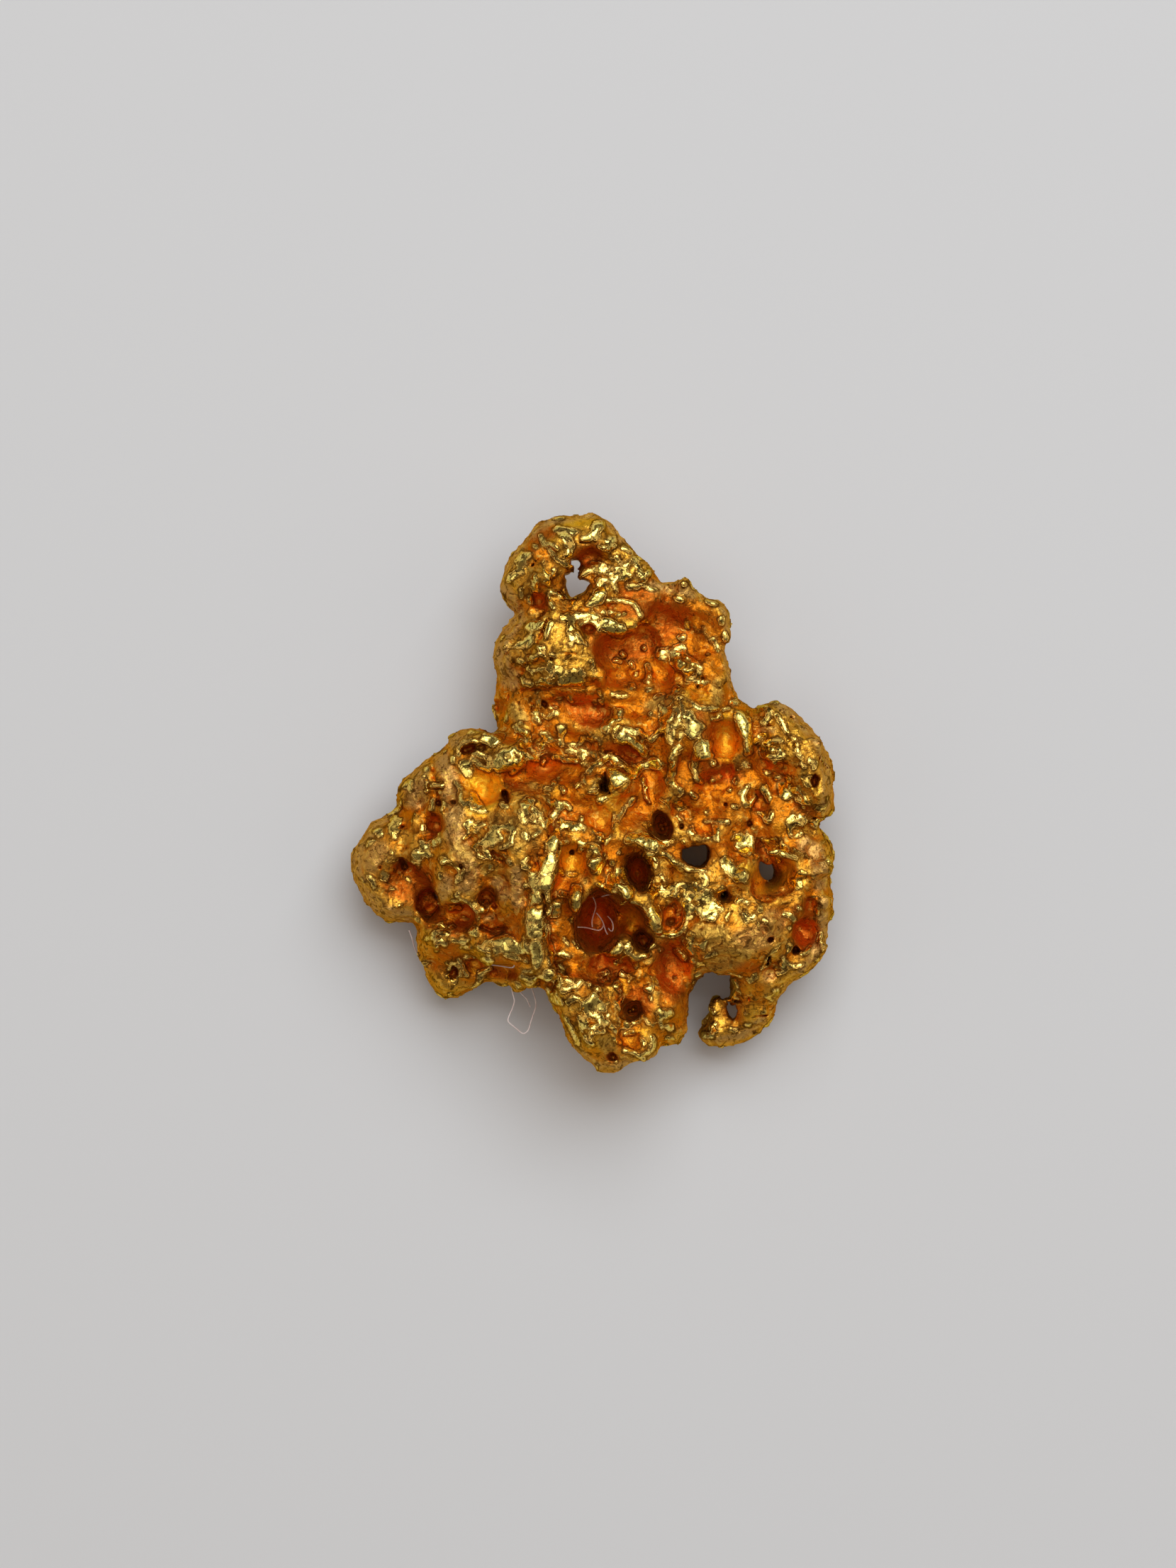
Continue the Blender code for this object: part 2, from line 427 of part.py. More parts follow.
def scattered(thing, scatter):
    """Returns balls scattered over the parts of the skin that face up or down as asked.

    No two are closer than the gap, and the top's smooth places have none. Each has a size within the
    two sizes, is stretched and turned at random, and is lifted off the skin by a share of its size.
    """
    dice = Random(scatter.seed)
    lowest, highest = scatter.facing
    places = []
    balls = []
    for vert in dice.sample(list(thing.data.vertices), SCATTER_TRIES):
        if not lowest < vert.normal.z < highest or (lowest > 0 and is_smooth(vert.co)):
            continue
        if any((vert.co - place).length < scatter.gap for place in places):
            continue
        places.append(vert.co)
        size = dice.uniform(*scatter.sizes)
        radii = [size * dice.uniform(0.7, 1.4) for _ in range(3)]
        turns = [dice.uniform(0, 180) for _ in range(3)]
        balls.append(Blob(vert.co + vert.normal * scatter.lift * size, radii, turns))
    return balls


def grown_object(name, blobs, ridges=()):
    """Returns an object whose balls and ridges are melted into closed, smooth bodies."""
    bm = bmesh.new()
    for blob in blobs:
        add_blob(bm, blob)
    for ridge in ridges:
        add_ridge(bm, ridge)
    mesh = bpy.data.meshes.new(name)
    bm.to_mesh(mesh)
    bm.free()
    thing = new_object(name, mesh)
    melt(thing, 2)
    return thing


def melt(thing, rounds):
    """Melts the bodies that the thing holds into one skin, and softens it this many times."""
    remesh = thing.modifiers.new("melt", "REMESH")
    remesh.mode = "VOXEL"
    remesh.voxel_size = MELT_STEP
    smooth = thing.modifiers.new("soften", "SMOOTH")
    smooth.factor = 0.5
    smooth.iterations = rounds


def combine(thing, other, operation):
    """Joins the other object to the thing, or cuts it away, and hides the other one."""
    boolean = thing.modifiers.new(other.name, "BOOLEAN")
    boolean.operation = operation
    boolean.solver = "EXACT"
    boolean.object = other
    other.hide_render = True
    other.display_type = "WIRE"


def settle(thing):
    """Gives the thing the mesh that its modifiers make, and removes the modifiers."""
    depsgraph = bpy.context.evaluated_depsgraph_get()
    mesh = bpy.data.meshes.new_from_object(thing.evaluated_get(depsgraph), depsgraph=depsgraph)
    thing.modifiers.clear()
    thing.data = mesh


def keep_largest_body(thing):
    """Deletes every loose crumb and sealed bubble, so that one body with one skin is left."""
    bm = bmesh.new()
    bm.from_mesh(thing.data)
    unseen = set(bm.verts)
    bodies = []
    while unseen:
        front = [unseen.pop()]
        body = []
        while front:
            vert = front.pop()
            body.append(vert)
            for edge in vert.link_edges:
                other = edge.other_vert(vert)
                if other in unseen:
                    unseen.remove(other)
                    front.append(other)
        bodies.append(body)
    bodies.sort(key=len)
    for body in bodies[:-1]:
        bmesh.ops.delete(bm, geom=body, context="VERTS")
    bm.to_mesh(thing.data)
    bm.free()


def roughen(thing):
    """Makes the whole skin gently uneven."""
    texture = bpy.data.textures.new("unevenness", "CLOUDS")
    texture.noise_scale = LUMPY_SIZE
    displace = thing.modifiers.new("unevenness", "DISPLACE")
    displace.texture = texture
    displace.texture_coords = "LOCAL"
    displace.mid_level = 0.5
    displace.strength = LUMPY_DEPTH * 2


def simplify(thing, most):
    """Lowers the skin to this many triangles, with the most where it bends."""
    triangles = sum(len(face.vertices) - 2 for face in thing.data.polygons)
    decimate = thing.modifiers.new("simplify", "DECIMATE")
    decimate.ratio = min(1.0, most / triangles)
    decimate.use_collapse_triangulate = True


def wear_flat(thing):
    """Cuts the lowest lumps off at Z = 0, as if they had worn flat."""
    bm = bmesh.new()
    bm.from_mesh(thing.data)
    for vert in bm.verts:
        if abs(vert.co.z) < SNAP:
            vert.co.z = 0
    everything = bm.verts[:] + bm.edges[:] + bm.faces[:]
    bmesh.ops.bisect_plane(bm, geom=everything, plane_co=(0, 0, 0), plane_no=(0, 0, 1), clear_inner=True)
    rims = [edge for edge in bm.edges if edge.is_boundary]
    bmesh.ops.holes_fill(bm, edges=rims, sides=0)
    bmesh.ops.triangulate(bm, faces=bm.faces[:])
    bmesh.ops.recalc_face_normals(bm, faces=bm.faces[:])
    bm.to_mesh(thing.data)
    bm.free()


def fit_to_size(thing):
    """Scales the skin to the real length, width and thickness, with the origin below its middle."""
    low = [min(vert.co[axis] for vert in thing.data.vertices) for axis in range(3)]
    high = [max(vert.co[axis] for vert in thing.data.vertices) for axis in range(3)]
    base = Vector(((low[0] + high[0]) / 2, (low[1] + high[1]) / 2, low[2]))
    sizes = [size * MM / (top - bottom) for size, bottom, top in zip((WIDTH, LENGTH, THICKNESS), low, high)]
    thing.data.transform(Matrix.Diagonal((*sizes, 1.0)) @ Matrix.Translation(-base))


def gold():
    """Returns the material of bright native gold."""
    material = bpy.data.materials.new("native_gold")
    material.use_nodes = True
    shader = material.node_tree.nodes["Principled BSDF"]
    shader.inputs["Base Color"].default_value = GOLD_COLOUR
    shader.inputs["Roughness"].default_value = GOLD_ROUGHNESS
    shader.inputs["Metallic"].default_value = 1.0
    return material


def build_nugget():
    """Builds the nugget from its lumps, valleys, ridges, crumbs and holes."""
    nugget = grown_object("gold_nugget", LUMPS.values())
    valleys = grown_object("valleys", VALLEYS.values())
    ridges = grown_object("ridges", CRUMBS.values(), RIDGES.values())
    holes = grown_object("holes", HOLES.values())
    combine(nugget, valleys, "DIFFERENCE")
    combine(nugget, ridges, "UNION")
    melt(nugget, 2)
    combine(nugget, holes, "DIFFERENCE")
    melt(nugget, 2)
    roughen(nugget)
    settle(nugget)
    keep_largest_body(nugget)
    beads = scattered(nugget, BEADS)
    pocks = scattered(nugget, POCKS) + scattered(nugget, UNDER_POCKS)
    combine(nugget, grown_object("beads", beads), "UNION")
    melt(nugget, 1)
    combine(nugget, grown_object("pocks", pocks), "DIFFERENCE")
    melt(nugget, 1)
    settle(nugget)
    keep_largest_body(nugget)
    simplify(nugget, MOST_TRIANGLES)
    settle(nugget)
    wear_flat(nugget)
    fit_to_size(nugget)
    nugget.data.shade_smooth()
    nugget.data.materials.append(gold())


clear_scene()
noise.seed_set(NOISE_SEED)
build_nugget()
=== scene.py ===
"""A spongy gold nugget with lint caught in its hollows, lying on a pale table.

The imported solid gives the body. Its skin is worked out again as a field of distances, so that crests,
crumpled gold, smooth hollows, pits and holes can be raised from it and sunk into it as whole arrays. All
lengths are in millimetres until a mesh is made, with X to the right, Y towards the crown and Z up.
"""

import logging
import math
from dataclasses import dataclass, field
from enum import Enum
from itertools import product

import bmesh
import bpy
import numpy as np
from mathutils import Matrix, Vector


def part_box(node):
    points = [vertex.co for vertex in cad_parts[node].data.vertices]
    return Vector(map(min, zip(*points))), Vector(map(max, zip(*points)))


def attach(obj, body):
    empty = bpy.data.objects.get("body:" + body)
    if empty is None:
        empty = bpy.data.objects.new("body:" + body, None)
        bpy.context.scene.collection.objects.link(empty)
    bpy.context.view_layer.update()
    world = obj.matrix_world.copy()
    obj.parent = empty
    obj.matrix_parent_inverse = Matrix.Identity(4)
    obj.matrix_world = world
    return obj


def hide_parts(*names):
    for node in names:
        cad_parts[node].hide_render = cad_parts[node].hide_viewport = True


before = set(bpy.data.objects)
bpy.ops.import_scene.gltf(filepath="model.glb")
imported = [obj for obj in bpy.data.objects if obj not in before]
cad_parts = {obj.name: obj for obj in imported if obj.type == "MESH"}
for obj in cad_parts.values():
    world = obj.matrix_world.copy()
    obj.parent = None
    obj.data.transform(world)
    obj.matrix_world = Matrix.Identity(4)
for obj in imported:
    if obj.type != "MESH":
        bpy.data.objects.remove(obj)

import openvdb as vdb
from mathutils import Vector

Array = np.ndarray
Path = tuple[int, ...]  # places in plan, as x and y in turn, in hundredths of a millimetre
Colour = tuple[float, float, float, float]
Socket = bpy.types.NodeSocket
Feed = Socket | float | tuple[float, ...]  # what a socket takes: another socket, a number or a colour

MM = 0.001  # a millimetre, in metres
NODE = "gold_nugget"
BODY = "root"

log = logging.getLogger("nugget")


class Skin(Enum):
    """The kinds of skin that the gold shows; the tan of side-facing rims and the glow of smooth bowls are painted
    light, not kinds of gold.
    """

    FOIL = "foil"  # crumpled and bright
    HONEY = "honey"  # mid gold
    AMBER = "amber"  # smooth and orange
    RUST = "rust"  # smooth and red brown
    SATIN = "satin"  # tan: a painted dim reflection on rims that face sideways
    DULL = "dull"  # finely pitted, olive brown
    GLOW = "glow"  # smooth, and painted light orange as a pool of reflected light


@dataclass(frozen=True)
class Crest:
    """A raised strip of bright gold: its line in plan, half its width and its height."""

    path: Path
    width: float
    height: float = 0.12


@dataclass(frozen=True)
class Island:
    """A raised plate of bright gold: its corners in plan and its height."""

    path: Path
    height: float = 0.12


@dataclass(frozen=True)
class Hollow:
    """A smooth bowl or trough: its line in plan, half its width and its depth."""

    path: Path
    width: float
    depth: float = 0.2


@dataclass(frozen=True)
class Cut:
    """A pit, slit or hole: its line in plan, half its width and how far it goes down."""

    path: Path
    width: float
    depth: float


@dataclass(frozen=True)
class Opening:
    """A hollow or hole with a drawn mouth: the mouth's corners in plan and how far it goes down."""

    path: Path
    depth: float = 9.0


@dataclass(frozen=True)
class Strand:
    """A thread of lint: its line in plan, and its heights at both ends, or none where it lies on the gold."""

    path: Path
    heights: tuple[float, float] | None = None


@dataclass(frozen=True)
class Patch:
    """A part of the upper skin of one kind: its line in plan, half its width and how plainly it shows."""

    path: Path
    skin: Skin
    width: float
    strength: float = 1.0


def listed(kind: type, groups: dict[tuple, tuple[Path, ...]]) -> tuple:
    """Forms of one kind, whose paths are listed under the settings that they share."""
    return tuple(kind(path, *settings) for settings, paths in groups.items() for path in paths)


def corners_of(path: Path) -> Array:
    """A path's places, one to a row, in millimetres."""
    return np.reshape(path, (-1, 2)) / 100


# Bright plates by their corners, under their height.
ISLANDS: tuple[Island, ...] = listed(
    Island,
    {
        (): (
            (-120, 810, -110, 825, -90, 820, -60, 815, -45, 805, -60, 800, -90, 812, -110, 808),
            (5, 835, 30, 840, 35, 825, 20, 805, 0, 805, 0, 820), (-25, 790, 0, 803, -3, 785, -20, 778, -35, 780),
            (5, 800, 20, 798, 20, 785, 5, 782),
            (-240, 450, -230, 465, -210, 470, -195, 490, -185, 490, -185, 465, -200, 450, -220, 450),
            (30, 535, 50, 540, 70, 525, 95, 520, 105, 500, 90, 485, 60, 490, 35, 505, 25, 520),
            (265, 485, 285, 490, 288, 480, 275, 472), (395, 545, 406, 545, 406, 525, 395, 525),
            (115, 340, 125, 340, 132, 325, 115, 322), (210, 275, 225, 260, 245, 260, 245, 225, 210, 215),
            (530, 20, 538, 22, 545, 0, 552, -15, 545, -25, 535, -10, 528, 5),
            (580, 30, 595, 30, 610, 15, 635, 15, 630, 0, 610, 0, 615, -10, 600, -20, 585, -10, 578, 10),
            (525, -142, 550, -145, 570, -142, 565, -165, 550, -175, 540, -170, 540, -155),
            (375, -105, 388, -108, 390, -125, 388, -145, 380, -145, 380, -125),
            (175, -360, 195, -355, 205, -350, 210, -370, 210, -390, 200, -400, 180, -390, 165, -380),
            (100, -475, 120, -460, 120, -480, 115, -495, 105, -485), (-117, -588, -105, -578, -98, -590, -112, -597),
            (-335, -340, -325, -335, -322, -350, -330, -368, -345, -365, -342, -350),
            (-250, 100, -210, 100, -210, 85, -230, 75, -250, 75),
            (-410, 90, -400, 100, -370, 95, -385, 75, -375, 60, -380, 50, -395, 60, -410, 80),
            (-110, 205, -85, 205, -85, 190, -95, 175, -102, 180, -100, 195),
            (-705, -165, -695, -152, -675, -150, -690, -160), (-472, -205, -455, -198, -448, -212, -465, -215),
            (-422, -463, -410, -452, -385, -455, -395, -466), (-72, -637, -60, -623, -50, -635, -60, -642),
            (65, -595, 75, -580, 78, -595, 70, -600), (162, -605, 175, -598, 185, -590, 183, -610, 175, -615),
            (375, -635, 390, -630, 395, -640, 385, -650, 375, -645), (582, -530, 595, -530, 605, -550, 590, -550),
        ),
        (0.05,): ((-375, 2, -365, 0, -355, -20, -340, -40, -355, -42, -370, -25),),
        (0.08,): ((210, -680, 220, -670, 240, -670, 250, -685, 230, -695, 210, -692),),
        (0.14,): (
            (-210, 515, -195, 530, -175, 525, -160, 530, -155, 520, -175, 505, -200, 505),
            (242, 95, 258, 95, 252, 70, 250, 52, 235, 52, 240, 70),
            (165, -185, 185, -188, 198, -205, 200, -225, 185, -220, 165, -210, 160, -195),
            (-105, -115, -102, -150, -110, -175, -130, -175, -140, -160, -130, -140, -120, -125),
            (-162, 185, -150, 188, -135, 175, -115, 165, -140, 162, -150, 170),
            (-45, 115, -25, 122, -20, 110, -30, 105),
            (-505, -152, -490, -145, -475, -138, -470, -150, -485, -162, -500, -160),
            (-560, -190, -545, -178, -535, -185, -530, -205, -545, -205, -555, -200),
            (-478, -430, -460, -427, -442, -435, -450, -443, -470, -440),
            (-380, -425, -365, -415, -355, -420, -358, -440, -370, -440, -382, -435),
            (-75, -595, -55, -595, -40, -578, -32, -582, -40, -598, -55, -605, -75, -608),
            (230, -720, 250, -722, 248, -735, 240, -738),
        ),
        (0.16,): (
            (-88, 735, -75, 750, -62, 745, -65, 730, -80, 725), (40, 780, 50, 785, 70, 792, 70, 780, 50, 770),
            (-20, 585, 0, 605, 10, 625, 30, 635, 35, 610, 30, 590, 10, 585, -10, 578),
            (205, 445, 220, 445, 215, 430, 210, 420, 205, 430),
            (280, 380, 300, 378, 315, 385, 312, 370, 300, 365, 285, 370),
            (78, 186, 95, 185, 98, 155, 78, 158, 73, 172),
            (103, 188, 122, 170, 135, 155, 155, 152, 168, 135, 165, 115, 155, 118, 140, 138, 120, 150, 102, 158),
            (295, 250, 305, 250, 315, 225, 340, 210, 348, 202, 335, 195, 320, 175, 305, 168, 292, 180, 288, 205, 295,
             220),
            (395, -210, 410, -200, 430, -210, 445, -235, 470, -240, 480, -255, 470, -275, 445, -270, 420, -250, 405,
             -235), (72, -235, 95, -230, 100, -245, 105, -265, 85, -265, 68, -248),
            (50, -250, 60, -255, 75, -270, 95, -285, 110, -282, 125, -298, 120, -320, 110, -330, 100, -320, 95, -300,
             80, -288, 60, -280, 48, -275),
            (-10, -210, -5, -202, 10, -205, 25, -200, 35, -220, 20, -240, 0, -232, -10, -220),
            (33, -492, 45, -485, 60, -485, 70, -472, 80, -465, 90, -475, 85, -490, 70, -500, 45, -500),
            (-170, -400, -160, -398, -155, -420, -150, -440, -175, -445, -170, -425),
            (-115, -345, -100, -340, -105, -375, -125, -382, -135, -370, -128, -350),
            (-335, -145, -320, -130, -300, -120, -285, -125, -280, -140, -295, -150, -310, -160, -330, -162, -350,
             -155), (-230, -465, -200, -465, -202, -490, -230, -495, -245, -485),
            (-305, -470, -290, -475, -288, -495, -300, -497),
            (-335, 185, -310, 182, -275, 185, -280, 165, -295, 150, -310, 145, -325, 155, -342, 160),
            (-45, -690, -30, -695, -15, -710, -20, -720, -35, -728, -42, -710),
        ),
        (0.18,): (
            (240, 430, 260, 430, 270, 410, 285, 395, 270, 385, 250, 395, 242, 410),
            (322, 152, 335, 162, 368, 155, 360, 125, 372, 115, 365, 105, 312, 106, 315, 135),
            (50, 72, 90, 72, 135, 83, 190, 108, 215, 85, 205, 75, 160, 78, 135, 50, 105, 42, 75, 15, 52, 4, 45, 15,
             52, 35),
            (445, -135, 455, -128, 470, -135, 490, -140, 500, -150, 498, -170, 485, -190, 470, -190, 450, -175, 445,
             -160), (-195, -255, -185, -248, -170, -255, -162, -280, -165, -295, -180, -300, -190, -285),
            (-190, -310, -165, -305, -160, -320, -165, -335, -190, -340),
            (-200, -355, -185, -350, -170, -370, -155, -360, -150, -380, -160, -395, -180, -395, -202, -395),
            (-202, -405, -185, -400, -175, -410, -180, -430, -190, -440, -200, -435),
            (-220, -30, -200, -15, -180, -22, -190, -40, -205, -50, -215, -45),
            (-250, 140, -230, 150, -235, 135, -255, 122, -275, 112, -300, 115, -280, 130, -260, 130),
            (-300, 105, -275, 105, -260, 95, -255, 75, -270, 70, -290, 65, -305, 80),
        ),
        (0.2,): (
            (60, 248, 70, 260, 88, 258, 85, 230, 60, 222, 52, 205, 45, 185, 32, 192, 30, 208, 42, 222, 58, 232),
            (100, -150, 105, -135, 120, -127, 145, -130, 150, -122, 175, -120, 190, -138, 205, -148, 235, -150, 235,
             -160, 220, -162, 205, -165, 195, -175, 175, -170, 155, -160, 150, -150),
            (-165, -197, -110, -197, -112, -210, -125, -240, -130, -255, -128, -290, -135, -300, -145, -298, -158,
             -290, -155, -260, -160, -245, -155, -235, -160, -215),
            (-60, -285, -35, -288, -42, -320, -40, -360, -45, -375, -55, -370, -65, -345, -68, -320),
            (-150, -555, -135, -542, -120, -550, -115, -565, -125, -582, -140, -585, -150, -575),
            (-30, -645, -10, -635, 0, -615, 15, -630, 30, -650, 40, -665, 35, -675, 20, -665, 5, -655, -10, -650, -10,
             -670, -15, -680, -30, -660),
        ),
        (0.22,): (
            (445, 250, 460, 248, 475, 230, 488, 215, 485, 200, 490, 185, 482, 175, 485, 150, 480, 140, 492, 130, 485,
             120, 475, 118, 475, 140, 472, 165, 460, 185, 450, 200, 445, 220),
            (-195, -470, -175, -455, -160, -460, -155, -490, -155, -510, -165, -535, -175, -542, -180, -520, -185,
             -495),
            (-315, -460, -295, -448, -265, -440, -245, -450, -235, -460, -245, -480, -260, -495, -275, -490, -285,
             -470, -300, -465),
        ),
    },
)

